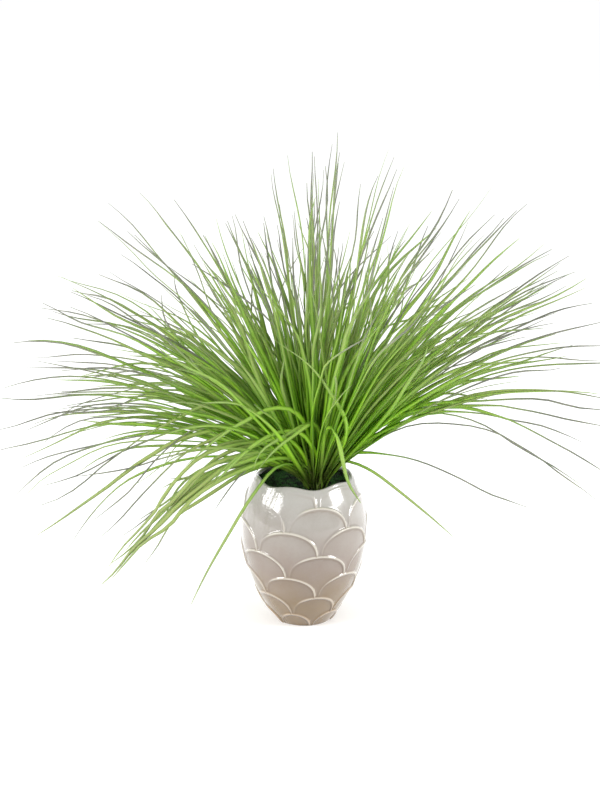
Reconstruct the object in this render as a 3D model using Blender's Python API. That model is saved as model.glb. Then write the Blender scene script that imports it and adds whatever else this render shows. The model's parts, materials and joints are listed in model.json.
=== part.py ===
"""Potted chives: a glazed pot with a scale pattern, its soil and moss, and tufts of long narrow leaves.

Metres, +Z up. The origin is the centre of the pot's flat base. The front faces -Y.
An azimuth is in degrees round the pot, from the front towards +X. A lean is in degrees from upright.
"""

import math
import random

import bmesh
import bpy
import numpy as np
from mathutils.bvhtree import BVHTree

MM = 0.001
CLEARANCE = 0.5 * MM
SHARP_ANGLE = 40.0

# Pot outline as (radius, height): two Bezier curves that meet upright at the belly
LOWER_OUTLINE = ((0.0292, 0.0), (0.0514, 0.029), (0.0668, 0.065), (0.0668, 0.102))
UPPER_OUTLINE = ((0.0668, 0.102), (0.0668, 0.124), (0.0600, 0.146), (0.0497, 0.162))
WALL = 5.0 * MM
FLOOR_HEIGHT = 7.0 * MM
INNER_HEIGHTS = (0.148, 0.134, 0.102, 0.050, FLOOR_HEIGHT)

# Scale pattern: rows of half-ellipse ridges, each row half a scale round from the one below
SCALES_ROUND = 6
SCALE_ROWS = 7
HALF_SCALE = 180.0 / SCALES_ROUND
FIRST_ROW_AZIMUTH = -16.0
FIRST_RIDGE_TOP = 21.2 * MM
ROW_PITCH = 25.9 * MM
RIDGE_DROP = 22.0 * MM
RIDGE_REACH = 27.5
RIDGE_HEIGHT = 1.4 * MM
RIDGE_HALF_WIDTH = 1.7 * MM
SCALE_STEP = 0.5 * MM
STEEPEST_RIDGE = 2.5
FOOT_FADE = 4.0 * MM
RIM_FADE = 12.0 * MM
LOWEST_CREST = 1.5 * MM
HIGHEST_CREST_BELOW_RIM = 4.0 * MM
LARGEST_SHARE_OF_GAP = 0.4
COLUMN_STOPS = (0.0, 0.12, 0.34, 0.66, 0.88)
PLAIN_STOPS = (0.0, 0.5)

# Scalloped rim: one lobe over each scale of the top row
RIM_BELOW_OUTLINE_END = 3.0 * MM
RIM_LOBE = 2.8 * MM
RIM_ROUNDING = 1.5 * MM
RIM_SWELL = 0.4 * MM
RIM_INNER_EDGE = 0.96 * WALL

# Soil and moss inside the pot
SOIL_TOP = 0.134
MOSS_TOP = 0.1440
MOSS_LUMP = 2.2 * MM
MOSS_RINGS = 5
MOSS_SEED = 5

# Crown: the oval of ground that the tufts grow from, right of the pot's axis
CROWN_CENTRE = (0.010, 0.0)
CROWN_RADII = (0.019, 0.025)
CROWN_MARGIN = 7.0 * MM

# A tuft: a six-sided sheath that parts into three leaves
SHEATH_RADIUS = 1.6 * MM
SHEATH_HEIGHT = 24.0 * MM
SHEATH_SPREAD = 0.22
LEAF_ROOT = 0.55 * SHEATH_RADIUS
LEAF_SPREAD = 4.6
SPREAD_GROWTH = 1.2

# A leaf: a keeled blade, widest below its middle, ending in a long point
LEAF_LENGTH = 0.358
LEAF_WIDTH = 4.4 * MM
LEAF_THICKNESS = 1.7 * MM
KEEL_SHARE = 0.75
WIDTH_STOPS = ((0.0, 0.55), (0.12, 0.85), (0.30, 1.0), (0.60, 0.80), (0.85, 0.36), (1.0, 0.12))
BEND_PER_SEGMENT = 27.0
LEAST_SEGMENTS = 3
MOST_SEGMENTS = 6
FINE_STEPS = 12

# Tufts set out by rule, from upright at the crown's middle to arching at its edge
RULED_TUFTS = 46
GOLDEN_ANGLE = 137.508
SPIRAL_SHARE = 0.88
EDGE_LEAN = 52.0
EDGE_DROOP = 71.0
DROOP_POWER = 1.57
SIDE_PULL = 4.0
REACH_POWER = 0.64
LEFT_GAIN = 0.12
FRONT_SHARE = 0.42
BACK_SHARE = 0.82
SIDE_POWER = 1.5
TUFT_SEED = 563

# How far chance moves a tuft, as (least, most); the first four widen with each try at placing it
PLACE_CHANCE = (-12.0, 12.0)
HEADING_CHANCE = (-40.0, 40.0)
FIRST_LEAN_CHANCE = (-6.0, 6.0)
LAST_LEAN_CHANCE = (-8.0, 14.0)
REACH_CHANCE = (0.86, 1.06)
DROOP_CHANCE = (0.75, 1.2)
LENGTH_CHANCE = (0.86, 1.07)
TURN_CHANCE = (0.0, 120.0)
CALMEST = 0.3
TRIES_TO_LOOSEN = 60.0
SET_SWING_PER_TRY = 0.25
MOST_SET_SWING = 12.0
MOST_TRIES = 1200
LEAF_SPARE = 0.3 * MM
RIM_MARGIN = 2.5 * MM
RIM_LEAN_STEP = 2.0
LOWEST_TIP = 0.020

# Tufts that hang lower: (azimuth, share of crown, first lean, last lean, length, haste of the bend)
ARCHING_TUFTS = {
    "tuft_low_left_1": (-66.0, 1.09, 52.0, 148.0, 0.262, 0.8),
    "tuft_low_left_2": (-78.0, 1.09, 55.0, 134.0, 0.296, 0.9),
    "tuft_low_left_3": (-57.0, 1.09, 50.0, 146.0, 0.245, 0.8),
    "tuft_low_right_1": (90.0, 1.09, 46.0, 132.0, 0.312, 1.0),
    "tuft_low_right_2": (76.0, 1.09, 44.0, 136.0, 0.285, 1.0),
}

# Single leaves that fall over the rim, with the same values
FALLING_LEAVES = {
    "leaf_over_front_rim": (-37.0, 1.10, 26.0, 150.0, 0.228, 0.4),
    "leaf_over_right_rim": (26.0, 1.10, 5.0, 190.0, 0.140, 1.0),
    "leaf_beside_right_rim": (57.0, 1.10, 40.0, 144.0, 0.182, 0.45),
    "leaf_low_right": (82.0, 1.10, 42.0, 130.0, 0.222, 0.5),
    "leaf_behind_left_rim": (-104.0, 1.10, 54.0, 128.0, 0.290, 0.8),
}

COLOURS = {
    "glaze": (0.80, 0.78, 0.74, 1.0),
    "soil": (0.06, 0.04, 0.025, 1.0),
    "moss": (0.020, 0.055, 0.012, 1.0),
    "leaf": (0.17, 0.36, 0.035, 1.0),
}
ROUGHNESS = {"glaze": 0.12, "soil": 0.95, "moss": 0.9, "leaf": 0.45}


def bezier(handles, share):
    """Point of a cubic Bezier curve, share from 0 to 1."""
    a, b, c, d = (np.array(handle) for handle in handles)
    rest = 1.0 - share
    return a * rest**3 + 3 * b * rest**2 * share + 3 * c * rest * share**2 + d * share**3


def outline_table():
    """Length along the outline with its radius and height, closely spaced from foot to rim."""
    shares = np.linspace(0.0, 1.0, 81)
    lower = [bezier(LOWER_OUTLINE, share) for share in shares]
    upper = [bezier(UPPER_OUTLINE, share) for share in shares[1:]]
    points = np.array(lower + upper)
    steps = np.linalg.norm(np.diff(points, axis=0), axis=1)
    return np.concatenate([[0.0], np.cumsum(steps)]), points


OUTLINE_LENGTHS, OUTLINE_POINTS = outline_table()
OUTLINE_END = OUTLINE_LENGTHS[-1]


def outline_at(length):
    """(radius, height) of the outline at a length from the foot."""
    radius = np.interp(length, OUTLINE_LENGTHS, OUTLINE_POINTS[:, 0])
    height = np.interp(length, OUTLINE_LENGTHS, OUTLINE_POINTS[:, 1])
    return float(radius), float(height)


def outer_radius(height):
    """Radius of the plain outline at a height."""
    return np.interp(height, OUTLINE_POINTS[:, 1], OUTLINE_POINTS[:, 0])


def inner_radius(height):
    return outer_radius(height) - WALL


def lifted(length, lift):
    """(radius, height) of a point that stands off the outline by lift, square to it."""
    ahead = np.array(outline_at(length + MM)) - np.array(outline_at(length - MM))
    ahead /= np.linalg.norm(ahead)
    radius, height = outline_at(length)
    return radius + lift * ahead[1], height - lift * ahead[0]


def turned(azimuth, radius, height):
    """World point at an azimuth, radius and height."""
    angle = math.radians(azimuth)
    return (radius * math.sin(angle), -radius * math.cos(angle), height)


def columns(stops):
    """Azimuths round the pot, closer together where the ridges are steep."""
    halves = range(2 * SCALES_ROUND)
    return [FIRST_ROW_AZIMUTH + HALF_SCALE * (half + stop) for half in halves for stop in stops]


def share_of_ridge(row, azimuth):
    """0 at the top of the row's nearest ridge, 1 at its feet, more between two ridges."""
    middle = FIRST_ROW_AZIMUTH + HALF_SCALE * (row % 2)
    away = (azimuth - middle + HALF_SCALE) % (2 * HALF_SCALE) - HALF_SCALE
    return abs(away) / RIDGE_REACH


def ridge_length(row, azimuth):
    """How far up the outline the row's ridge runs at this azimuth."""
    share = min(1.0, share_of_ridge(row, azimuth))
    return FIRST_RIDGE_TOP + row * ROW_PITCH - RIDGE_DROP * (1.0 - math.sqrt(1.0 - share * share))


def ridge_steepness(row, azimuth):
    """How much wider the ridge is along the outline than square to its own run."""
    share = min(0.97, share_of_ridge(row, azimuth))
    radius = outline_at(max(0.0, ridge_length(row, azimuth)))[0]
    slope = RIDGE_DROP * share / math.sqrt(1.0 - share * share) / (radius * math.radians(RIDGE_REACH))
    return min(STEEPEST_RIDGE, math.hypot(1.0, slope))


def ridge_strength(row, azimuth, rim):
    """1 on a whole ridge, less towards the foot, the rim and the gap between two ridges."""
    length = ridge_length(row, azimuth)
    gap = (share_of_ridge(row, azimuth) - 1.0) * RIDGE_REACH / (HALF_SCALE - RIDGE_REACH)
    shares = (length / FOOT_FADE, (rim - length) / RIM_FADE, 1.0 - gap)
    return max(0.0, min(1.0, *shares))


def rim_length(azimuth):
    """Length up the outline of the scalloped rim."""
    lobes = math.cos(math.radians(SCALES_ROUND * (azimuth - FIRST_ROW_AZIMUTH)))
    return OUTLINE_END - RIM_BELOW_OUTLINE_END + RIM_LOBE * lobes


def outer_column(azimuth):
    """(radius, height) points up the outside of the pot at one azimuth, foot to rim."""
    rim = rim_length(azimuth)
    highest = rim - HIGHEST_CREST_BELOW_RIM
    crests = [min(max(ridge_length(row, azimuth), LOWEST_CREST), highest) for row in range(SCALE_ROWS)]
    points = [outline_at(0.0)]
    for row, crest in enumerate(crests):
        below = crests[row - 1] if row else 0.0
        above = crests[row + 1] if row + 1 < SCALE_ROWS else rim - RIM_ROUNDING
        wide = RIDGE_HALF_WIDTH * ridge_steepness(row, azimuth)
        strength = ridge_strength(row, azimuth, rim)
        down = min(wide, LARGEST_SHARE_OF_GAP * (crest - below))
        up = min(wide, LARGEST_SHARE_OF_GAP * (above - crest))
        points.append(lifted(crest - down, SCALE_STEP * strength))
        points.append(lifted(crest, RIDGE_HEIGHT * strength))
        points.append(lifted(crest + up, 0.0))
    points.append(lifted(rim - RIM_ROUNDING, RIM_SWELL))
    return points


def pot_column(azimuth):
    """(radius, height) points from the foot up the outside, over the rim and down the inside."""
    points = outer_column(azimuth)
    radius, height = outline_at(rim_length(azimuth))
    points.append((radius - 0.5 * WALL, height + RIM_SWELL))
    points.append((radius - RIM_INNER_EDGE, height - RIM_ROUNDING))
    points += [(float(inner_radius(level)), level) for level in INNER_HEIGHTS]
    return points


def closed_stack(bm, rings, capped=True):
    """Joins rings of vertices one above the next, and fills the first and last where capped."""
    for low, high in zip(rings, rings[1:]):
        count = len(low)
        for i in range(count):
            j = (i + 1) % count
            bm.faces.new((low[i], low[j], high[j], high[i]))
    if capped:
        bm.faces.new(list(reversed(rings[0])))
        bm.faces.new(rings[-1])


def finish_object(name, bm, material):
    """Turns a bmesh into a named object with its material, faces outwards."""
    bmesh.ops.recalc_face_normals(bm, faces=bm.faces)
    mesh = bpy.data.meshes.new(name)
    bm.to_mesh(mesh)
    bm.free()
    mesh.shade_smooth()
    mesh.set_sharp_from_angle(angle=math.radians(SHARP_ANGLE))
    mesh.materials.append(material)
    piece = bpy.data.objects.new(name, mesh)
    bpy.context.scene.collection.objects.link(piece)
    return piece


def make_pot(material):
    bm = bmesh.new()
    around = [(azimuth, pot_column(azimuth)) for azimuth in columns(COLUMN_STOPS)]
    levels = len(around[0][1])
    rings = [
        [bm.verts.new(turned(azimuth, *points[level])) for azimuth, points in around]
        for level in range(levels)
    ]
    closed_stack(bm, rings)
    return finish_object("pot", bm, material)


def make_soil(material):
    bm = bmesh.new()
    heights = [level for level in reversed(INNER_HEIGHTS) if level <= SOIL_TOP]
    rings = []
    for height in heights:
        radius = float(inner_radius(height)) - CLEARANCE
        level = max(height, FLOOR_HEIGHT + CLEARANCE)
        rings.append([bm.verts.new(turned(a, radius, level)) for a in columns(PLAIN_STOPS)])
    closed_stack(bm, rings)
    return finish_object("soil", bm, material)


def make_moss(material):
    """A lumpy bed round the crown, from the crown's edge to the pot's wall."""
    lumps = random.Random(MOSS_SEED)
    bm = bmesh.new()
    azimuths = columns(PLAIN_STOPS)
    hole = [crown_point(azimuth, 1.0, CROWN_MARGIN) for azimuth in azimuths]
    bottom = SOIL_TOP + CLEARANCE

    def ring(share, height_of, radius):
        edge = [turned(azimuth, radius, 0.0) for azimuth in azimuths]
        points = []
        for inner, outer in zip(hole, edge):
            x = inner[0] + share * (outer[0] - inner[0])
            y = inner[1] + share * (outer[1] - inner[1])
            points.append(bm.verts.new((x, y, height_of())))
        return points

    low_radius = float(inner_radius(INNER_HEIGHTS[1])) - CLEARANCE
    top_radius = float(inner_radius(INNER_HEIGHTS[0])) - CLEARANCE
    rings = [ring(0.0, lambda: bottom, low_radius)]
    for step in range(MOSS_RINGS):
        share = step / (MOSS_RINGS - 1)
        rings.append(ring(share, lambda: MOSS_TOP + lumps.uniform(-1.0, 1.0) * MOSS_LUMP, top_radius))
    rings.append(ring(1.0, lambda: bottom, low_radius))
    closed_stack(bm, rings + [rings[0]], capped=False)
    return finish_object("moss", bm, material)


def crown_point(azimuth, share, margin=0.0):
    """(x, y) at a share of the way from the crown's centre to its edge."""
    angle = math.radians(azimuth)
    return (
        CROWN_CENTRE[0] + (CROWN_RADII[0] * share + margin) * math.sin(angle),
        CROWN_CENTRE[1] - (CROWN_RADII[1] * share + margin) * math.cos(angle),
    )


def lean_vector(lean, azimuth):
    """A lean as a flat vector, so that leans add up."""
    angle = math.radians(azimuth)
    return np.array([math.sin(angle), -math.cos(angle)]) * lean


def direction(lean):
    """Unit direction of a lean vector."""
    size = float(np.hypot(lean[0], lean[1]))
    if size < 1e-6:
        return np.array([0.0, 0.0, 1.0])
    angle = math.radians(size)
    flat = lean / size * math.sin(angle)
    return np.array([flat[0], flat[1], math.cos(angle)])


def leaf_line(start, first, last, length, haste=1.0):
    """Points and directions down a leaf whose lean turns from first to last, early where haste is low."""
    bend = float(np.linalg.norm(last - first))
    segments = min(MOST_SEGMENTS, LEAST_SEGMENTS + round(bend / BEND_PER_SEGMENT))
    shares = np.linspace(0.0, 1.0, segments * FINE_STEPS + 1)
    points, directions = [np.array(start)], [direction(first)]
    for before, after in zip(shares, shares[1:]):
        heading = direction(first + (last - first) * (0.5 * (before + after)) ** haste)
        points.append(points[-1] + heading * (after - before) * length)
        directions.append(direction(first + (last - first) * after**haste))
    return np.array(points[::FINE_STEPS]), np.array(directions[::FINE_STEPS])


def leaf_width(share):
    stops, widths = zip(*WIDTH_STOPS)
    return LEAF_WIDTH * float(np.interp(share, stops, widths))


class Tuft:
    """A sheath and the lines of its leaves."""

    def __init__(self, foot, azimuth, first_lean, last_lean, length, turn, haste=1.0, leaves=3):
        self.turn = azimuth + turn
        self.foot = np.array([*foot, SOIL_TOP + CLEARANCE])
        outwards = SHEATH_SPREAD * (self.foot[:2] - np.array(CROWN_CENTRE)) / max(CROWN_RADII)
        self.top = self.foot + SHEATH_HEIGHT * np.array([outwards[0], outwards[1], 1.0])
        self.leaves = self.lines(azimuth, first_lean, last_lean, length, haste, leaves)
        while first_lean > 0.0 and self.meets_pot():
            first_lean -= RIM_LEAN_STEP
            self.leaves = self.lines(azimuth, first_lean, last_lean, length, haste, leaves)

    def lines(self, azimuth, first_lean, last_lean, length, haste, leaves):
        """Leaves by the third of the sheath's top that they rise from."""
        found = {}
        for third in range(leaves):
            sector = self.turn + 120.0 * third
            away = lean_vector(LEAF_SPREAD if leaves > 1 else 0.0, sector)
            side = np.append(lean_vector(LEAF_ROOT, sector), 0.0)
            first = lean_vector(first_lean, azimuth) + away
            last = lean_vector(last_lean, azimuth) + SPREAD_GROWTH * away
            found[third] = leaf_line(self.top + side, first, last, length, haste)
        return found

    def meets_pot(self):
        return any(meets_pot(line) for line, _ in self.leaves.values())

    def shape(self, spare=0.0):
        """Vertices and faces of the tuft, made larger by spare on every side of a leaf."""
        radius = SHEATH_RADIUS + spare
        corners = [np.append(lean_vector(radius, self.turn + 60.0 * k), 0.0) for k in range(-1, 5)]
        points = [self.foot + corner for corner in corners] + [self.top + corner for corner in corners]
        points.append(self.top)
        faces = [tuple(range(5, -1, -1))]
        faces += [(k, (k + 1) % 6, 6 + (k + 1) % 6, 6 + k) for k in range(6)]
        for third in range(3):
            ring = [12] + [6 + (2 * third + k) % 6 for k in range(3)]
            if third in self.leaves:
                add_leaf(points, faces, ring, self.turn + 120.0 * third, *self.leaves[third], spare)
            else:
                faces.append(tuple(ring))
        return points, faces


def leaf_ring(centre, heading, sector, width, thickness):
    """Four corners of a keeled blade: channel, one edge, keel, the other edge."""
    outwards = np.append(lean_vector(1.0, sector), 0.0)
    keel = outwards - heading * float(outwards @ heading)
    keel /= np.linalg.norm(keel)
    across = np.cross(heading, keel)
    return [
        centre - keel * (1.0 - KEEL_SHARE) * thickness,
        centre - across * 0.5 * width,
        centre + keel * KEEL_SHARE * thickness,
        centre + across * 0.5 * width,
    ]


def add_leaf(points, faces, ring, sector, line, directions, spare):
    """Lofts a leaf from the top of its sheath to its tip."""
    last = len(line) - 1
    for k in range(1, last):
        width = leaf_width(k / last)
        thickness = LEAF_THICKNESS * math.sqrt(width / LEAF_WIDTH)
        above = list(range(len(points), len(points) + 4))
        points += leaf_ring(line[k], directions[k], sector, width + 2 * spare, thickness + 2 * spare)
        faces += [(ring[i], ring[(i + 1) % 4], above[(i + 1) % 4], above[i]) for i in range(4)]
        ring = above
    points.append(line[last])
    faces += [(ring[i], ring[(i + 1) % 4], len(points) - 1) for i in range(4)]


def meets_pot(line):
    """Whether a leaf runs into the pot's wall or rim, or hangs too low."""
    shares = np.linspace(0.0, 1.0, FINE_STEPS * (len(line) - 1) + 1)
    stops = np.linspace(0.0, 1.0, len(line))
    x, y, height = (np.interp(shares, stops, line[:, axis]) for axis in range(3))
    radius = np.hypot(x, y)
    beside = height < OUTLINE_POINTS[-1, 1] + RIM_MARGIN
    inside = inner_radius(height) - RIM_MARGIN
    outside = outer_radius(height) + RIM_MARGIN
    return bool((beside & (radius > inside) & (radius < outside)).any() or height.min() < LOWEST_TIP)


def side_share(azimuth):
    """How far a tuft may lean at this azimuth: all the way at the sides, less in front and behind."""
    ahead = math.cos(math.radians(azimuth))
    limit = FRONT_SHARE if ahead > 0 else BACK_SHARE
    return 1.0 - (1.0 - limit) * abs(ahead) ** SIDE_POWER


def ruled_values(number, attempt, chance):
    """Foot, heading, leans, length and turn of one tuft of the spiral, varied by chance."""
    share = math.sqrt((number + 0.5) / RULED_TUFTS)
    place = number * GOLDEN_ANGLE
    loose = min(1.0, CALMEST + attempt / TRIES_TO_LOOSEN)
    foot = crown_point(place + loose * chance.uniform(*PLACE_CHANCE), share * SPIRAL_SHARE)
    azimuth = place - SIDE_PULL * math.sin(math.radians(2.0 * place))
    azimuth += loose * chance.uniform(*HEADING_CHANCE) / (0.5 + share)
    reach = share**REACH_POWER * side_share(azimuth) * chance.uniform(*REACH_CHANCE)
    reach *= 1.0 - LEFT_GAIN * math.sin(math.radians(azimuth))
    first_lean = EDGE_LEAN * reach + loose * chance.uniform(*FIRST_LEAN_CHANCE)
    last_lean = first_lean + EDGE_DROOP * reach**DROOP_POWER * chance.uniform(*DROOP_CHANCE)
    last_lean += loose * chance.uniform(*LAST_LEAN_CHANCE)
    length = LEAF_LENGTH * chance.uniform(*LENGTH_CHANCE)
    return foot, azimuth, first_lean, last_lean, length, chance.uniform(*TURN_CHANCE)


def settled_tuft(name, values_of, placed, leaves=3):
    """The first variation of a tuft that clears the pot and every tuft placed before it."""
    for attempt in range(MOST_TRIES):
        tuft = Tuft(*values_of(attempt), leaves=leaves)
        if tuft.meets_pot():
            continue
        tree = BVHTree.FromPolygons(*tuft.shape(LEAF_SPARE))
        if any(tree.overlap(other) for other in placed):
            continue
        placed.append(BVHTree.FromPolygons(*tuft.shape()))
        return tuft
    raise RuntimeError(f"no free place for {name}")


def eased_values(values, attempt, chance):
    """Values of a hand-set tuft, moved a little more with each attempt."""
    azimuth, share, first_lean, last_lean, length, haste = values
    swing = min(MOST_SET_SWING, SET_SWING_PER_TRY * attempt)
    foot = crown_point(azimuth + chance.uniform(-swing, swing), share)
    azimuth += chance.uniform(-swing, swing)
    first_lean += chance.uniform(-swing, 0.0)
    last_lean += chance.uniform(-swing, swing)
    return foot, azimuth, first_lean, last_lean, length, chance.uniform(*TURN_CHANCE), haste


def all_tufts():
    """Every tuft and falling leaf by name, each clear of the others."""
    placed, found = [], {}
    chance = random.Random(TUFT_SEED)
    for group, leaves in ((FALLING_LEAVES, 1), (ARCHING_TUFTS, 3)):
        for name, values in group.items():
            found[name] = settled_tuft(name, lambda n: eased_values(values, n, chance), placed, leaves)
    for number in range(RULED_TUFTS):
        name = f"tuft_{number + 1:02d}"
        found[name] = settled_tuft(name, lambda n: ruled_values(number, n, chance), placed)
    return found


def make_tuft(name, tuft, material):
    bm = bmesh.new()
    points, faces = tuft.shape()
    corners = [bm.verts.new(point) for point in points]
    for face in faces:
        bm.faces.new([corners[k] for k in face])
    return finish_object(name, bm, material)


def make_material(name):
    material = bpy.data.materials.new(name)
    material.use_nodes = True
    shader = material.node_tree.nodes["Principled BSDF"]
    shader.inputs["Base Color"].default_value = COLOURS[name]
    shader.inputs["Roughness"].default_value = ROUGHNESS[name]
    shader.inputs["Metallic"].default_value = 0.0
    return material


def main():
    for old in list(bpy.data.objects):
        bpy.data.objects.remove(old)
    materials = {name: make_material(name) for name in COLOURS}
    make_pot(materials["glaze"])
    make_soil(materials["soil"])
    make_moss(materials["moss"])
    for name, tuft in all_tufts().items():
        make_tuft(name, tuft, materials["leaf"])


if __name__ == "__main__":
    main()
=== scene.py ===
"""Potted chives: the looks of the pot, its soil and moss and its leaves, laid out as an add-on.

Metres, +Z up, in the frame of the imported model. The front faces -Y. An azimuth is in degrees round the
pot, from the front towards +X.
"""

import json
import math
import random
from functools import partialmethod

import bmesh
import bpy
from bpy.props import FloatProperty, FloatVectorProperty, IntProperty, PointerProperty
from mathutils import Matrix, Vector
from mathutils.bvhtree import BVHTree
from mathutils.geometry import interpolate_bezier
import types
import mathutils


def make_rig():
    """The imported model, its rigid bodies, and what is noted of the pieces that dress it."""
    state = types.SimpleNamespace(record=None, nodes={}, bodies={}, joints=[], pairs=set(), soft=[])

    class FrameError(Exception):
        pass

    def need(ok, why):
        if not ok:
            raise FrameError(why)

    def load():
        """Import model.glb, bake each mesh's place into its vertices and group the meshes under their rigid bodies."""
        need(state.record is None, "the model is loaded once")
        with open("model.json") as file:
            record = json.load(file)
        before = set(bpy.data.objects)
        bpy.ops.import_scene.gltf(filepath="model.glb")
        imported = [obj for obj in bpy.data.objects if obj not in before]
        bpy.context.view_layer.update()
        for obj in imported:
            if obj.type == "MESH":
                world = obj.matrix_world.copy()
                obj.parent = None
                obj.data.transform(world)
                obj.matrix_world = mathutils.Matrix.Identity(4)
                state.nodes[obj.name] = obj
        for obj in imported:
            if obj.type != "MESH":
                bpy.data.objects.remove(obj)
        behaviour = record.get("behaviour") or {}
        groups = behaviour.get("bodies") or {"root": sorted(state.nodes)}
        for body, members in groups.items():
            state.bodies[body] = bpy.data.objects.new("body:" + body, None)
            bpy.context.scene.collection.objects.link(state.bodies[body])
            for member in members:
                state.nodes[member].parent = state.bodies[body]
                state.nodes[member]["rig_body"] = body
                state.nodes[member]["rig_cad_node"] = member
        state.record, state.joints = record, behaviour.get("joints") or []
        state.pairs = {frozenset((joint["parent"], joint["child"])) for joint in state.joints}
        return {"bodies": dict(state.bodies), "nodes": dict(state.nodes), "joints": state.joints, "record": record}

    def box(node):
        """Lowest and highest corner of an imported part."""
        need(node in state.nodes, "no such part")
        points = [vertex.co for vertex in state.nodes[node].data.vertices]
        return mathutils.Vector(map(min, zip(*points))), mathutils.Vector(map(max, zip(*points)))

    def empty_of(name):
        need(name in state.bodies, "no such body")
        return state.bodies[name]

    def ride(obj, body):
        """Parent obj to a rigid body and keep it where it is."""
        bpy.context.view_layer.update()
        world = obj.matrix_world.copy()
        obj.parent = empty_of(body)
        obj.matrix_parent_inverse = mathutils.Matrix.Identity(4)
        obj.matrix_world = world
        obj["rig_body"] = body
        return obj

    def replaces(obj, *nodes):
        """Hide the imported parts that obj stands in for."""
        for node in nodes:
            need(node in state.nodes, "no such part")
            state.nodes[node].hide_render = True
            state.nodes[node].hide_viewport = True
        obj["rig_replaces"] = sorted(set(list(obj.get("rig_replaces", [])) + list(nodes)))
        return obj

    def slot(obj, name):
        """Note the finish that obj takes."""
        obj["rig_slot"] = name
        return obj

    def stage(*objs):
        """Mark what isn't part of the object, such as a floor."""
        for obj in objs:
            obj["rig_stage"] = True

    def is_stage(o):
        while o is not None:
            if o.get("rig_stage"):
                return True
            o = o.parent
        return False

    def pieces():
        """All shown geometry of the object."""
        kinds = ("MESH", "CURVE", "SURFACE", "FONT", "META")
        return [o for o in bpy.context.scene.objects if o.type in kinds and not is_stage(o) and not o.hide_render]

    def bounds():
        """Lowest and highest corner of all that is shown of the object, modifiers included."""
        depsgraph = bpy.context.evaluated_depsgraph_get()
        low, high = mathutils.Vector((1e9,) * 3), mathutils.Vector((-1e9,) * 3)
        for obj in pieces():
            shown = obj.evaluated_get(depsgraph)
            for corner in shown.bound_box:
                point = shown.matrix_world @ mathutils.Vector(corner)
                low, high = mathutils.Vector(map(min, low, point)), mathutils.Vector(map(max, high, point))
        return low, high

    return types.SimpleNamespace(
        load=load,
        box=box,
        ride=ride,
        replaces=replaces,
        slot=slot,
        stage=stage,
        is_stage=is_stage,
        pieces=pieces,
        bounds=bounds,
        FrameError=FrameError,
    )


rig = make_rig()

bl_info = {
    "name": "Potted Chives",
    "version": (1, 0, 0),
    "blender": (4, 5, 0),
    "location": "3D View > Sidebar > Chives",
    "description": "Makes a scale-patterned pot of chives and a plain stage for it",
    "category": "Object",
}

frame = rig.load()
CAD_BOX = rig.bounds()

MM = 0.001
BODY = "root"
SIZE_FILE = "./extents.json"
MERGE_DISTANCE = 0.01 * MM

# Taken from the frame: heights of the pot, soil and moss, and that of the leaves' feet
POT_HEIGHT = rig.box("pot")[1].z
SOIL_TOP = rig.box("soil")[1].z
MOSS_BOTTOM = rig.box("moss")[0].z
FOOT_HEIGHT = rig.box("tuft_01")[0].z
LEAF_NODES = sorted(name for name in frame["nodes"] if name.startswith(("tuft_", "leaf_")))

# The view of the reference picture: its size and focal length in pixels, what it looks at and from where
PICTURE_WIDTH, PICTURE_HEIGHT = 600, 800
FOCAL_LENGTH = 2470.0
LOOK_AT = Vector((-0.0042, 0.0, 0.2424))
VIEW_DISTANCE = 2.6
VIEW_PITCH = math.radians(16.0)

# The stage: the floor's side, the camera's sensor in millimetres and its reach, how far the softboxes are
# from the middle of the rim, and each as (name, azimuth, elevation, width, height, share of the key power)
FLOOR_SIZE = 40.0
SENSOR = 36.0
CLIP_END = 100.0
SOFTBOX_DISTANCE = 2.2
SOFTBOXES = (
    ("left softbox", -70.0, 20.0, 1.6, 0.7, 1.2),
    ("right softbox", 75.0, 22.0, 1.1, 0.7, 1.0),
)

# The pot's outline as a Bezier curve: (radius, height) of its three points and of their handles
FOOT, FOOT_HANDLE = (0.0292, 0.0), (0.0514, 0.029)
BELLY_BELOW, BELLY, BELLY_ABOVE = (0.0668, 0.065), (0.0668, 0.102), (0.0668, 0.124)
RIM_HANDLE, RIM = (0.0600, 0.146), (0.0497, 0.162)
OUTLINE_STEPS = 64

# The sizes that the pot's tree takes. Its inputs have these names, and its settings have them in lower case
POT_SIZES = ("Wall", "First ridge", "Row pitch", "Ridge drop", "Ridge height", "Ridge half width",
             "Scale step", "Rim lobe")

# The scale pattern: its rows, where each row's ridges stand, and how much the grid's columns and levels
# crowd at the ridges' ends and crests
SCALES_ROUND = 6
SCALE_ROWS = 7
HALF_SCALE = 180.0 / SCALES_ROUND
FIRST_ROW_AZIMUTH = -16.0
COLUMN_CROWDING = 0.62
LEVEL_CROWDING = 0.75

# Lengths along the pot's outline: how far the rim lies below its end, how far the raised step and the painted
# shade reach under a ridge, and where the unevenness of the surface fades at rim and foot
RIM_MARGIN = 3.3 * MM
STEP_REACH = 13.0 * MM
PAINTED_SHADE_START, PAINTED_SHADE_END = 2.0 * MM, 15.0 * MM
UNEVEN_RIM_FADE, UNEVEN_FOOT_FADE = 20.0 * MM, 10.0 * MM

# Other forms of the pot: its unevenness, lip, lower wall, inner floor, and the recess under its foot ring
UNEVENNESS = 0.35 * MM
UNEVEN_SCALE = 26.0
LIP_HEIGHT = 1.7 * MM
LOWER_WALL = 5.0 * MM
WALL_FADE = 30.0 * MM
INNER_FLOOR_LENGTH = 9.0 * MM
RECESS_START, RECESS_END = 4.0 * MM, 6.5 * MM
RECESS_DEPTH = 1.2 * MM

# The moss: its grid, its height over the soil, its lumps, the number of the waves that make them and their
# turns in radians to a metre, its rise towards the back and the sides, and how far it presses into the wall
MOSS_RINGS, MOSS_COLUMNS = 22, 72
MOSS_HEIGHT = 10.5 * MM
MOSS_LUMP = 4.0 * MM
MOSS_WAVES = 14
MOSS_WAVE_TURNS = (60.0, 260.0)
MOSS_RISE = 9.0 * MM
MOSS_PRESS = 1.0 * MM
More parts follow.
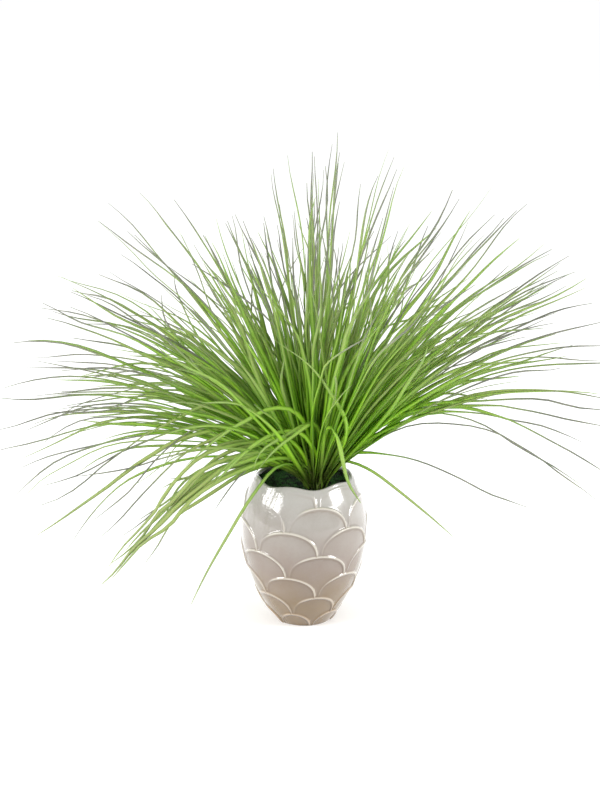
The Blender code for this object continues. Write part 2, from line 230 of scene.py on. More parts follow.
# A sprig's size varies between these shares of its length, which its radii at top and foot are shares of too.
# It leans by up to this in radians, and it grows where the bed's normal points up by more than this
SPRIG_SIZES = (0.55, 1.15)
SPRIG_TOP, SPRIG_FOOT = 0.02, 0.16
SPRIG_LEAN = 0.85
SPRIG_FACING = 0.2

# The height of a tuft's sheath, the crown's middle, how far the leaves' roots are drawn in towards it, how
# far along them that reaches, how far they are scattered, and the highest and leftmost place for a leaf's tip
SHEATH_HEIGHT = 24.0 * MM
CROWN = (0.016, -0.004)
GATHER = 0.5
GATHER_LENGTH = 100.0 * MM
ROOT_SCATTER = 2.0 * MM
TALLEST = 0.505
LEFTMOST = -0.312

# The camera looks down, so what lies further back stands higher in the picture, by this share of its depth.
# Seen so, a filling leaf rises at least this much for each step to the right, at any point and at its middle
SEEN_FROM_ABOVE = math.tan(VIEW_PITCH)
LEAST_RISE, LEAST_MIDDLE_RISE = 0.5, 0.95

# What a filling leaf differs by from the one beside it: spreads that multiply its turn and its lean in
# degrees, its length as (least, most, likeliest), the spread of its swing and its droop as (mean, spread) in
# degrees, what is left of its reach to front and back, the length under which it has no whip, and how
# often one is tried before it is left out
FILLER_SPREADS = (0.4, 0.8, 1.5)
FILLER_LENGTHS = (0.55, 1.04, 0.92)
FILLER_TURNS = (-15.0, 15.0)
FILLER_LEANS = (-9.0, 8.0)
FILLER_SWINGS = (12.0, 30.0, 42.0)
FILLER_DROOP, FILLER_DROOP_SPREAD = 4.0, 14.0
FILLER_DEPTHS = (1.0, 1.0, 0.5, 0.0)
SHORT_FILLER = 0.84
FILLER_TRIES = 40
# How many fillers a leaf gets, as shares of the usual number: a flat leaf, how many more an upright one, and
# how many more or fewer one that goes left or right, and the elevations in degrees that are flat and upright
FLAT_SHARE, UPRIGHT_GAIN, LEFT_GAIN = 0.70, 0.44, 0.4
FLAT_ELEVATION, UPRIGHT_ELEVATION = 15.0, 70.0

# What is random in each leaf: ranges, (mean, spread) in degrees for its roll and twist, (least, most,
# likeliest) for where its whip starts, and the share of leaves that are spears
TONE_POWER = 1.25
BREADTHS = (0.74, 1.16)
ROLL = (60.0, 38.0)
TWIST = (0.0, 55.0)
SPEAR_SHARE = 0.28
WHIP_STARTS = (0.45, 0.88, 0.66)
FADINGS = (0.50, 0.85)

# A leaf's width along it, as (share of its length, share of its width), for broad leaves that end in a thin,
# round whip, and for spears that narrow to a point
BROAD_TAPER = ((0.0, 0.62), (0.08, 0.74), (0.25, 1.0), (0.6, 0.97), (1.0, 0.80))
SPEAR_TAPER = ((0.0, 0.62), (0.08, 0.74), (0.30, 1.0), (0.60, 0.95), (0.82, 0.66), (0.94, 0.34), (1.0, 0.10))
# A whip's width against its leaf's, from where along the leaf it thins further and by how much, and, as
# shares of the leaf's length before and after the whip's start, where the leaf narrows to it and greys
WHIP_WIDTH = 0.46
WHIP_END, WHIP_END_LOSS = 0.88, 0.7
WHIP_TURN = (0.10, 0.08)
GREY_TURN = (0.05, 0.24)
# Every leaf greys a little towards its tip, between these shares of its length and by this much
PLAIN_GREY_START, PLAIN_GREY_END, PLAIN_GREY = 0.60, 0.95, 0.4
# The share of a leaf that has no waves, what its tone shifts them by, and how wavy a drawn leaf is
WAVE_START = 0.12
TONE_SHIFT = (37.0, 11.0, 23.0)
DRAWN_WAVINESS = 0.25

# Colours, and shares of the pot's height at which its glaze has its four colours, from the foot up
WHITE = (1.0, 1.0, 1.0)
BARE_CLAY = (0.55, 0.42, 0.30)
VEIN_GREEN = (0.38, 0.64, 0.06)
DARK_SOIL, LIGHT_SOIL = (0.018, 0.011, 0.007), (0.075, 0.048, 0.030)
GLAZE_PLACES = (0.18, 0.46, 0.74, 0.92)

# Leaves that are drawn one by one and stand in for those of their CAD node, each as (breadth, roll and twist
# in degrees, where the whip begins along it, tone, fading, path). One whose whip begins at 1 is a spear.
# A path has a point's pixel across and down the picture, and its y in millimetres.
DRAWN_LEAVES = {
    "leaf_over_front_rim": (
        (0.8, 115.0, 0.0, 1.0, 0.1, 0.9, (
            (316, 483, -18), (312, 474, -19), (305, 469, -24), (292, 463.5, -33), (280, 465, -42),
            (270, 472, -49), (262, 482, -56), (247, 503, -64), (231, 530, -70), (213, 563, -74),
            (193, 604, -76),
        )),
    ),
    "leaf_over_right_rim": (
        (1.35, 120.0, 0.0, 1.0, 0.9, 0.5, (
            (320, 484, -15), (321, 468, -20), (322, 447, -38), (324, 432, -58), (329, 427, -70),
            (334, 434, -76), (338, 446, -77), (342, 462, -74), (345, 475, -70), (350, 488, -66),
            (360, 503, -60),
        )),
    ),
    "leaf_beside_right_rim": (
        (0.72, 75.0, 0.0, 1.0, 0.35, 0.9, (
            (320, 480, -9), (322, 468, -9), (326, 463, -10), (333, 460.5, -12), (346, 461, -14),
            (358, 464, -16), (376, 473, -20), (400, 491, -24), (427, 514, -28), (454, 538, -30),
        )),
    ),
    "leaf_low_right": (
        (0.9, 75.0, 0.0, 0.35, 0.5, 0.6, (
            (322, 480, -4), (326, 470, -4), (334, 461, -6), (346, 455, -8), (360, 452.5, -10),
            (378, 453.5, -12), (405, 457.5, -15), (425, 463, -18), (443, 470, -20), (463, 479, -22),
            (488, 492, -25), (505, 498, -28), (527, 506, -32),
        )),
    ),
    "leaf_behind_left_rim": (
        (0.9, 110.0, 0.0, 0.4, 0.5, 1.0, (
            (314, 480, 2), (305, 466, 4), (285, 455, 8), (262, 447, 12), (240, 441, 16), (217, 437, 22),
            (183, 432, 30), (150, 434, 38), (117, 439, 46), (80, 447, 54), (47, 457, 62), (21, 469, 68),
        )),
    ),
    "tuft_low_left_1": (
        (0.95, 100.0, 0.0, 1.0, 0.8, 1.0, (
            (314, 483, -14), (311, 466, -20), (303, 450, -28), (285, 441, -38), (262, 441, -48),
            (240, 444, -56), (222, 448, -62), (200, 457, -68), (180, 475, -74), (165, 493, -78),
            (155, 510, -80), (137, 530, -82), (120, 548, -84), (107, 568, -84),
        )),
        (1.1, 100.0, 0.0, 1.0, 0.6, 1.0, (
            (314, 483, -14), (310, 467, -20), (300, 454, -28), (283, 447, -40), (258, 452, -52),
            (233, 457, -62), (208, 467, -70), (192, 480, -74), (175, 500, -78), (160, 513, -82),
            (147, 533, -84), (132, 548, -86), (113, 561, -88),
        )),
        (0.95, 100.0, 0.0, 0.8, 0.7, 1.0, (
            (313, 483, -15), (308, 468, -20), (298, 455, -28), (278, 448, -42), (255, 453, -52),
            (235, 462, -60), (210, 477, -68), (188, 492, -74), (165, 515, -78), (150, 531, -82),
            (135, 548, -84), (118, 566, -86),
        )),
        (1.15, 0.0, 150.0, 1.0, 1.0, 0.5, (
            (314, 481, -14), (315, 467, -18), (311, 442, -36), (303, 421, -58), (293, 410, -70),
            (279, 407, -77), (264, 410, -81), (249, 418, -83), (228, 429, -84), (204, 446, -86),
            (183, 466, -86),
        )),
        (1.1, 0.0, 150.0, 1.0, 0.95, 0.5, (
            (320, 482, -18), (319, 471, -22), (317, 458, -32), (312, 446, -44), (305, 436, -54),
            (296, 431, -60), (283, 432, -64), (268, 437, -68), (250, 449, -72), (231, 467, -76),
            (209, 490, -78),
        )),
        (0.9, 100.0, 0.0, 0.45, 0.5, 1.0, (
            (313, 482, -12), (303, 462, -20), (280, 446, -30), (250, 435, -38), (210, 428, -46),
            (190, 431, -50), (175, 442, -54), (158, 457, -58), (143, 473, -62), (128, 490, -66),
            (107, 507, -70), (92, 519, -74),
        )),
        (0.95, 100.0, 0.0, 0.6, 0.8, 1.0, (
            (313, 482, -12), (304, 460, -20), (285, 441, -30), (262, 430, -38), (237, 426, -44),
            (217, 437, -50), (192, 448, -56), (175, 460, -60), (158, 476, -64), (137, 497, -68),
            (117, 519, -72), (100, 535, -76),
        )),
        (1.1, 100.0, 0.0, 1.0, 0.3, 0.8, (
            (313, 482, 0), (302, 468, 2), (288, 459, 4), (272, 455, 4), (256, 457, 2), (238, 462, -4),
            (216, 470, -12), (196, 482, -20), (176, 498, -28), (158, 517, -36), (140, 534, -42),
            (124, 552, -48),
        )),
    ),
    "tuft_low_left_2": (
        (0.85, 100.0, 0.0, 0.5, 0.4, 1.0, (
            (313, 481, -8), (303, 458, -16), (284, 440, -26), (255, 429, -34), (220, 425, -42),
            (190, 426, -48), (158, 436, -56), (133, 446, -60), (117, 453, -62), (95, 465, -64),
            (70, 477, -66), (42, 486, -68),
        )),
        (0.9, 100.0, 0.0, 0.6, 0.8, 1.0, (
            (313, 481, -8), (304, 452, -16), (288, 428, -26), (262, 411, -34), (235, 403, -40),
            (208, 403, -46), (188, 412, -50), (167, 423, -54), (143, 435, -58), (125, 448, -60),
            (103, 463, -62), (83, 480, -64), (62, 495, -66), (39, 505, -68),
        )),
        (0.85, 100.0, 0.0, 0.55, 0.4, 1.0, (
            (313, 481, -10), (304, 464, -18), (285, 453, -28), (258, 448, -40), (228, 447, -48),
            (208, 449, -52), (183, 453, -56), (158, 459, -60), (130, 467.5, -64), (103, 472, -66),
            (73, 476, -68),
        )),
        (1.1, 100.0, 0.0, 1.0, 0.9, 1.0, (
            (313, 481, -10), (305, 458, -18), (287, 440, -28), (262, 430, -38), (235, 427, -44),
            (208, 432, -48), (188, 436, -52), (167, 445, -56), (147, 457, -60), (130, 468, -62),
            (108, 486, -66), (83, 504, -70), (58, 521, -74), (36, 535, -78),
        )),
        (0.8, 100.0, 0.0, 0.3, 0.5, 1.0, (
            (310, 482, -16), (303, 470, -22), (290, 460, -32), (275, 457, -40), (259, 461, -48),
            (247, 469, -54), (237, 479, -58), (226, 494, -62), (215, 511, -64),
        )),
        (1.0, 100.0, 0.0, 1.0, 0.35, 0.9, (
            (313, 482, 4), (302, 467, 8), (288, 459, 12), (270, 457, 14), (252, 460, 12), (233, 466, 10),
            (208, 472, 6), (180, 478, 2), (161, 487, 0),
        )),
        (0.95, 100.0, 0.0, 0.8, 0.6, 0.9, (
            (313, 482, 6), (300, 464, 10), (284, 456, 14), (266, 454, 16), (248, 457, 14), (230, 463, 12),
            (210, 470, 8), (192, 475, 6), (172, 476, 4),
        )),
        (1.1, 100.0, 0.0, 0.8, 0.3, 0.8, (
            (312, 481, 6), (299, 465, 12), (282, 460, 16), (264, 462, 16), (246, 465, 12), (226, 468, 8),
            (204, 476, 4), (184, 489, 0), (162, 505, -6), (140, 520, -10),
        )),
    ),
    "tuft_low_left_3": (
        (1.3, 100.0, 0.0, 1.0, 0.75, 1.0, (
            (313, 483, -16), (309, 468, -22), (299, 457, -29), (280, 450, -40), (258, 455, -50),
            (242, 462, -57), (222, 468, -64), (200, 487, -72), (180, 503, -78), (158, 525, -84),
            (142, 540, -88), (130, 553, -90), (117, 572, -92), (103, 586, -92),
        )),
        (1.1, 100.0, 0.0, 1.0, 0.55, 1.0, (
            (313, 484, -16), (310, 471, -22), (300, 462, -30), (284, 457, -40), (268, 460, -48),
            (250, 467, -56), (225, 478, -66), (200, 493, -74), (183, 508, -80), (167, 527, -84),
            (142, 544, -88), (127, 562, -90), (112, 580, -92),
        )),
        (1.0, 100.0, 0.0, 0.85, 0.65, 1.0, (
            (313, 483, -16), (308, 466, -22), (296, 452, -29), (275, 443, -42), (250, 445, -52),
            (228, 452, -60), (212, 461, -66), (195, 478, -72), (178, 497, -76), (166, 512, -80),
            (152, 530, -84), (136, 545, -86),
        )),
        (0.9, 100.0, 0.0, 0.6, 0.45, 1.0, (
            (313, 482, -16), (307, 464, -22), (293, 450, -30), (262, 441, -44), (230, 443, -54),
            (208, 452, -60), (192, 463, -64), (175, 483, -70), (158, 508, -76), (143, 522, -78),
            (124, 534, -80),
        )),
        (1.1, 0.0, 150.0, 1.0, 0.9, 0.5, (
            (312, 483, -16), (310, 471, -20), (305, 458, -30), (299, 449, -38), (291, 441, -46),
            (283, 438, -52), (272, 439, -58), (257, 445, -62), (241, 456, -66), (224, 470, -70),
            (211, 485, -72),
        )),
        (1.15, 0.0, 150.0, 1.0, 1.0, 0.5, (
            (317, 481, -14), (318, 465, -20), (318, 440, -34), (316, 426, -46), (310, 423, -56),
            (302, 426, -64), (290, 433, -68), (275, 441, -70), (262, 449, -71), (255, 459, -72),
            (252, 469, -73),
        )),
        (1.1, 0.0, 150.0, 1.0, 0.95, 0.5, (
            (319, 481, -15), (320, 466, -20), (321, 441, -36), (317, 427, -50), (311, 424, -62),
            (303, 429, -70), (293, 437, -73), (281, 446, -74), (270, 456, -74), (262, 465, -74),
            (255, 473, -75),
        )),
        (1.0, 100.0, 0.0, 1.0, 0.5, 1.0, (
            (314, 483, 0), (306, 472, 4), (294, 464, 8), (280, 461, 10), (265, 462, 10), (250, 466, 8),
            (232, 473, 4), (212, 484, 0), (190, 499, -6), (165, 520, -10), (150, 532, -12),
        )),
        (0.95, 100.0, 0.0, 0.75, 0.5, 1.0, (
            (314, 484, -2), (308, 474, 0), (298, 467, 4), (284, 464, 6), (268, 465, 6), (252, 470, 4),
            (236, 478, 0), (220, 489, -4), (200, 502, -8), (178, 516, -12), (167, 530, -14), (158, 545, -16),
            (146, 562, -18),
        )),
    ),
    "tuft_low_right_1": (
        (0.95, 78.0, 0.0, 0.62, 0.6, 0.6, (
            (323, 478, 0), (333, 462, 0), (350, 446, 0), (372, 430, 0), (405, 415, 0), (430, 408, 0),
            (452, 405.5, 0), (470, 407, 0), (490, 412.5, 0), (510, 419, -2), (530, 429, -4), (550, 440, -6),
            (572, 452, -8), (600, 469, -10), (611, 477, -10),
        )),
        (0.95, 78.0, 0.0, 0.55, 0.7, 0.6, (
            (323, 478, 2), (334, 460, 2), (350, 443, 4), (375, 428, 6), (405, 415, 8), (437, 412, 10),
            (472, 413, 12), (493, 416, 12), (513, 421, 13), (538, 426, 14), (560, 434, 15), (580, 442.5, 16),
        )),
        (1.0, 78.0, 0.0, 0.6, 0.4, 0.6, (
            (323, 478, 0), (334, 458, -2), (352, 440, -4), (378, 424, -6), (410, 412, -8), (445, 407, -10),
            (477, 406, -12), (497, 406, -12), (518, 410, -13), (538, 414, -14), (563, 420, -15),
            (600, 426, -17), (612, 428, -17),
        )),
        (1.1, 78.0, 0.0, 0.55, 0.8, 0.6, (
            (323, 477, 0), (334, 456, 2), (352, 436, 4), (378, 420, 8), (410, 408, 10), (445, 403, 12),
            (480, 401.5, 14), (510, 400, 15), (538, 400, 16), (555, 403, 16), (575, 408, 17), (600, 410, 18),
            (611, 411, 18),
        )),
    ),
    "tuft_low_right_2": (
        (0.85, 78.0, 0.0, 0.18, 0.4, 0.6, (
            (322, 480, -8), (330, 470, -10), (345, 459, -14), (365, 447, -20), (380, 438, -24),
            (397, 430, -28), (413, 425, -32), (433, 423, -38), (455, 424, -44), (472, 426, -48),
            (497, 433, -54), (518, 445, -60), (538, 458, -66), (560, 476, -72), (577, 487, -76),
            (595, 500, -80),
        )),
        (0.9, 78.0, 0.0, 0.45, 0.5, 0.6, (
            (322, 480, -8), (331, 467, -10), (348, 452, -14), (372, 437, -18), (397, 425, -22),
            (420, 416, -28), (440, 413, -32), (460, 416, -36), (480, 422, -40), (497, 431, -44),
            (513, 442, -48), (535, 455, -54), (555, 467, -60), (577, 483, -66),
        )),
    ),
}


class Field:
    """An output socket that stands in a formula: each operation adds its node to the socket's tree."""

    def __init__(self, tree, socket):
        self.tree = tree
        self.socket = socket

    def calculate(self, operation, *others, clamp=False):
        node = self.tree.nodes.new("ShaderNodeMath")
        node.operation = operation
        node.use_clamp = clamp
        for slot, value in zip(node.inputs, (self, *others)):
            plug(self.tree, slot, value)
        return Field(self.tree, node.outputs[0])

    __add__ = __radd__ = partialmethod(calculate, "ADD")
    __sub__ = partialmethod(calculate, "SUBTRACT")
    __mul__ = __rmul__ = partialmethod(calculate, "MULTIPLY")
    __truediv__ = partialmethod(calculate, "DIVIDE")
    __pow__ = partialmethod(calculate, "POWER")
    __mod__ = partialmethod(calculate, "FLOORED_MODULO")
    __abs__ = partialmethod(calculate, "ABSOLUTE")
    least = partialmethod(calculate, "MINIMUM")
    most = partialmethod(calculate, "MAXIMUM")
    above = partialmethod(calculate, "GREATER_THAN")
    floor = partialmethod(calculate, "FLOOR")
    root = partialmethod(calculate, "SQRT")
    sine = partialmethod(calculate, "SINE")
    cosine = partialmethod(calculate, "COSINE")
    clamped = partialmethod(calculate, "ADD", 0.0, clamp=True)

    def __neg__(self):
        return self * -1.0

    def __rsub__(self, other):
        return self * -1.0 + other

    def smooth(self, low, high):
        """0 below low, 1 above high, with a soft turn at both."""
        node = self.tree.nodes.new("ShaderNodeMapRange")
        node.interpolation_type = "SMOOTHSTEP"
        for slot, value in zip(node.inputs, (self, low, high)):
            plug(self.tree, slot, value)
        return Field(self.tree, node.outputs[0])

    def towards(self, other, share):
        """This value moved towards another by a share."""
        return self + (other + self * -1.0) * share


def plug(tree, slot, value):
    """Links a field or a socket to a slot, or sets the slot's value; a colour is given as three numbers."""
    if isinstance(value, Field):
        tree.links.new(value.socket, slot)
    elif isinstance(value, bpy.types.NodeSocket):
        tree.links.new(value, slot)
    else:
        slot.default_value = (*value, 1.0) if slot.type == "RGBA" else value


def identified(sockets, identifier):
    """The socket with an identifier, for nodes whose sockets share their names."""
    return next(socket for socket in sockets if socket.identifier == identifier)


class Sketch:
    """A node tree under construction, with short calls for what the trees below use most."""

    def __init__(self, tree):
        self.tree = tree

    def add(self, kind, inputs=None, **settings):
        """A new node, with its settings made before its inputs are plugged in by name or number."""
        node = self.tree.nodes.new(kind)
        for name, value in settings.items():
            setattr(node, name, value)
        for name, value in (inputs or {}).items():
            plug(self.tree, node.inputs[name], value)
        return node

    def field(self, socket):
        return Field(self.tree, socket)

    def vector(self, x, y, z):
        return self.add("ShaderNodeCombineXYZ", {"X": x, "Y": y, "Z": z}).outputs[0]

    def parts(self, vector):
        """The x, y and z fields of a vector."""
        node = self.add("ShaderNodeSeparateXYZ", {0: vector})
        return [self.field(socket) for socket in node.outputs]

    def vector_math(self, operation, *values):
        node = self.add("ShaderNodeVectorMath", dict(enumerate(values)), operation=operation)
        return node.outputs[0]

    def scaled(self, vector, factor):
        node = self.add("ShaderNodeVectorMath", {0: vector, "Scale": factor}, operation="SCALE")
        return node.outputs[0]

    def noise(self, vector, scale, detail=2.0, output="Fac"):
        node = self.add("ShaderNodeTexNoise", {"Vector": vector, "Scale": scale, "Detail": detail})
        return self.field(node.outputs[output])

    def mixed(self, factor, first, second, blend="MIX"):
        """A colour between two others, or the first one blended with the second."""
        node = self.add("ShaderNodeMix", data_type="RGBA", blend_type=blend)
        for identifier, value in (("Factor_Float", factor), ("A_Color", first), ("B_Color", second)):
            plug(self.tree, identified(node.inputs, identifier), value)
        return identified(node.outputs, "Result_Color")

    def ramp(self, factor, places, colours):
        """A colour that runs through colours at places from 0 to 1."""
        node = self.add("ShaderNodeValToRGB", {"Fac": factor})
        elements = node.color_ramp.elements
        while len(elements) < len(places):
            elements.new(0.5)
        for element, place, colour in zip(elements, places, colours):
            element.position = place
            element.color = (*colour, 1.0)
        return node.outputs["Color"]


def new_group(name, kind, inputs, outputs):
    """An empty node group. Inputs are {name: default value, or type of socket}, outputs {name: type}."""
    number_types = {int: "NodeSocketInt", float: "NodeSocketFloat"}
    tree = bpy.data.node_groups.new(name, kind)
    for label, default in inputs.items():
        socket_type = number_types.get(type(default), default)
        socket = tree.interface.new_socket(name=label, in_out="INPUT", socket_type=socket_type)
        if socket_type != default:
            socket.default_value = default
    for label, socket_type in outputs.items():
        tree.interface.new_socket(name=label, in_out="OUTPUT", socket_type=socket_type)
    return tree


def new_modelling_tree(name, inputs):
    """The sketch of a new tree that takes and gives a geometry, and its inputs as fields by name."""
    geometry = {"Geometry": "NodeSocketGeometry"}
    inputs = geometry | inputs | {"Material": "NodeSocketMaterial"}
    tree = new_group(name, "GeometryNodeTree", inputs, geometry)
    tree.is_modifier = True
    sketch = Sketch(tree)
    given = sketch.add("NodeGroupInput")
    return sketch, {socket.name: sketch.field(socket) for socket in given.outputs if socket.name}


def end_tree(sketch, geometry, material):
    """Ends a modelling tree with smooth shading, real meshes and the material."""
    smooth = sketch.add("GeometryNodeSetShadeSmooth", {"Geometry": geometry})
    real = sketch.add("GeometryNodeRealizeInstances", {"Geometry": smooth.outputs[0]})
    finish = sketch.add("GeometryNodeSetMaterial", {"Geometry": real.outputs[0], "Material": material})
    sketch.add("NodeGroupOutput", {"Geometry": finish.outputs[0]})


def grow(source, tree, values):
    """Gives an object a modelling tree with its inputs set by name."""
    modifier = source.modifiers.new(tree.name, "NODES")
    modifier.node_group = tree
    for item in tree.interface.items_tree:
        if item.item_type == "SOCKET" and item.in_out == "INPUT" and item.name in values:
            modifier[item.identifier] = values[item.name]


def link_object(name, data):
    made = bpy.data.objects.new(name, data)
    bpy.context.scene.collection.objects.link(made)
    return made


def settled(source, name, slot, node):
    """Turns what an object's modifiers make into a plain mesh piece that stands for a CAD node."""
    depsgraph = bpy.context.evaluated_depsgraph_get()
    made = source.evaluated_get(depsgraph)
    mesh = bpy.data.meshes.new_from_object(made, preserve_all_data_layers=True, depsgraph=depsgraph)
    bpy.data.objects.remove(source)
    if not mesh.polygons:
        raise RuntimeError(f"{name} came out with no faces")
    mesh.name = name
    piece = link_object(name, mesh)
    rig.ride(piece, BODY)
    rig.replaces(piece, node)
    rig.slot(piece, slot)


def merged(node):
    """A bmesh copy of a CAD node, with its loose triangles joined."""
    bm = bmesh.new()
    bm.from_mesh(frame["nodes"][node].data)
    bmesh.ops.remove_doubles(bm, verts=bm.verts, dist=MERGE_DISTANCE)
    return bm


def size_property(text, default):
    return FloatProperty(name=text, description=f"{text}, in metres", default=default,
                         unit="LENGTH", precision=4)


def colour_property(text, default):
    return FloatVectorProperty(name=text, description=f"Colour: {text.lower()}", default=default,
                               size=3, min=0.0, max=1.0, subtype="COLOR")


class ChivesPotSettings(bpy.types.PropertyGroup):
    """Sizes and colours of the glazed pot."""

    wall: size_property("Wall thickness", 4.4 * MM)
    first_ridge: size_property("First ridge", 21.2 * MM)
    row_pitch: size_property("Row pitch", 25.9 * MM)
    ridge_drop: size_property("Ridge drop", 22.0 * MM)
    ridge_height: size_property("Ridge height", 1.15 * MM)
    ridge_half_width: size_property("Ridge half width", 2.3 * MM)
    scale_step: size_property("Scale step", 0.4 * MM)
    rim_lobe: size_property("Rim lobe", 1.8 * MM)
    rim_glaze: colour_property("Glaze at the rim", (0.365, 0.350, 0.324))
    shoulder_glaze: colour_property("Glaze at the shoulder", (0.290, 0.264, 0.235))
    belly_glaze: colour_property("Glaze at the belly", (0.222, 0.172, 0.141))
    foot_glaze: colour_property("Glaze at the foot", (0.178, 0.116, 0.054))
    ridge_glaze: colour_property("Glaze on the ridges", (0.52, 0.48, 0.41))
    low_ridge_glaze: colour_property("Glaze on the low ridges", (0.42, 0.32, 0.23))
    # Tint multiplied over the glaze under each ridge: pooled glaze with a painted shadow, and painted shade further
    # down
    pool_and_shade_tint: colour_property("Tint of pooled glaze and painted shade", (0.66, 0.58, 0.50))


class ChivesLeafSettings(bpy.types.PropertyGroup):
    """Sizes, number and colours of the leaves."""

    width: size_property("Leaf width", 4.3 * MM)
    wave: size_property("Waviness", 24.0 * MM)
    fillers: IntProperty(name="Filling leaves", description="Leaves added beside each leaf of a tuft",
                         default=2, min=0, max=6)
    points: IntProperty(name="Points", description="Points along each leaf", default=22, min=6, max=40)
    seed: IntProperty(name="Seed", description="Seed of everything random in the leaves", default=80)
    # The dull colour of a leaf's base, made darker as painted shade in the crown
    base_and_shade_colour: colour_property("Base of a leaf, with painted shade", (0.080, 0.095, 0.026))
    bright_colour: colour_property("Bright leaf", (0.250, 0.52, 0.010))
    deep_colour: colour_property("Deep leaf", (0.060, 0.175, 0.004))
    outer_colour: colour_property("Outer half of a leaf", (0.290, 0.332, 0.130))
    dark_tip_colour: colour_property("Dark tip", (0.126, 0.134, 0.108))
    pale_tip_colour: colour_property("Pale tip", (0.236, 0.244, 0.186))


class ChivesMossSettings(bpy.types.PropertyGroup):
    """Sizes and colours of the moss."""

    sprig_length: size_property("Sprig length", 2.6 * MM)
    density: FloatProperty(name="Density", description="Sprigs to a square metre", default=260000.0, min=0.0)
    seed: IntProperty(name="Seed", description="Seed of everything random in the moss", default=3)
    dark_colour: colour_property("Dark moss", (0.007, 0.020, 0.006))
    light_colour: colour_property("Light moss", (0.070, 0.260, 0.050))


class ChivesStageSettings(bpy.types.PropertyGroup):
    """The plain floor, the light and the camera."""

    floor_colour: colour_property("Floor", (0.92, 0.92, 0.92))
    camera_distance: FloatProperty(name="Camera distance", description="Camera distance, in metres",
                                   default=VIEW_DISTANCE, unit="LENGTH")
    camera_pitch: FloatProperty(name="Camera pitch", description="How far the camera looks down",
                                default=VIEW_PITCH, subtype="ANGLE")
    sky_strength: FloatProperty(name="Sky strength", description="Strength of the even light", default=0.9)
    key_power: FloatProperty(name="Key power", description="Power of each softbox in watts", default=36.0)
    floor_glow: FloatProperty(name="Floor glow", description="Light that the floor gives off", default=0.17)


def outline_curve():
    """The pot's outline as a curve in the XZ plane, from foot to rim."""
    data = bpy.data.curves.new("pot outline", "CURVE")
    data.dimensions = "3D"
    data.resolution_u = OUTLINE_STEPS
    spline = data.splines.new("BEZIER")
    spline.bezier_points.add(2)
    places = ((FOOT, FOOT, FOOT_HANDLE), (BELLY_BELOW, BELLY, BELLY_ABOVE), (RIM_HANDLE, RIM, RIM))
    for point, (before, place, after) in zip(spline.bezier_points, places):
        point.handle_left_type = point.handle_right_type = "FREE"
        point.handle_left = (before[0], 0.0, before[1])
        point.co = (place[0], 0.0, place[1])
        point.handle_right = (after[0], 0.0, after[1])
    return data


class OutlinePoint:
    """Where the pot's outline is at a length from the foot, and which way it runs there."""

    def __init__(self, sketch, curve, length):
        sample = sketch.add("GeometryNodeSampleCurve", {"Curves": curve, "Length": length}, mode="LENGTH")
        self.radius, _, self.height = sketch.parts(sample.outputs["Position"])
        self.run_out, _, self.run_up = sketch.parts(sample.outputs["Tangent"])


def sheet(sketch, given, levels):
    """A grid to wrap round the pot: its geometry, its azimuth, and its field up from 0 to 1."""
    grid = sketch.add("GeometryNodeMeshGrid", {
        "Size X": 1.0, "Size Y": 1.0, "Vertices X": given["Columns"] + 1.0, "Vertices Y": levels,
    })
    across, up, _ = sketch.parts(grid.outputs["UV Map"])
    return grid.outputs["Mesh"], column_azimuth(across), up


def crowding_shift(part, crowding):
    """What to take off a share from 0 to 1, so that even steps of it crowd at both ends."""
    return (part * math.tau).sine() * (crowding / math.tau)


def column_azimuth(across):
    """Azimuth of a column, closer together where ridges of both kinds of row end."""
    half = across * (2.0 * SCALES_ROUND)
    shift = crowding_shift(half % 1.0, COLUMN_CROWDING)
    return (half - shift) * HALF_SCALE + FIRST_ROW_AZIMUTH


def place_at(sketch, azimuth, radius, height):
    """A place by its azimuth, its radius and its height."""
    angle = azimuth * math.radians(1.0)
    return sketch.vector(radius * angle.sine(), -(radius * angle.cosine()), height)


def wrapped(sketch, mesh, azimuth, radius, height):
    """Moves a grid's points to their azimuth, radius and height."""
    place = place_at(sketch, azimuth, radius, height)
    return sketch.add("GeometryNodeSetPosition", {"Geometry": mesh, "Position": place}).outputs[0]


def named(sketch, geometry, name, value, domain="POINT"):
    """Stores a value under a name that a material reads."""
    values = {"Geometry": geometry, "Name": name, "Value": value}
    node = sketch.add("GeometryNodeStoreNamedAttribute", values, data_type="FLOAT", domain=domain)
    return node.outputs[0]


def joined(sketch, *geometries):
    """Several geometries as one."""
    node = sketch.add("GeometryNodeJoinGeometry")
    for geometry in geometries:
        plug(sketch.tree, node.inputs[0], geometry)
    return node.outputs[0]


def bump(distance, half_width):
    """1 at distance 0, falling softly to 0 at half_width."""
    return ((distance / half_width).least(1.0) * math.pi).cosine() * 0.5 + 0.5


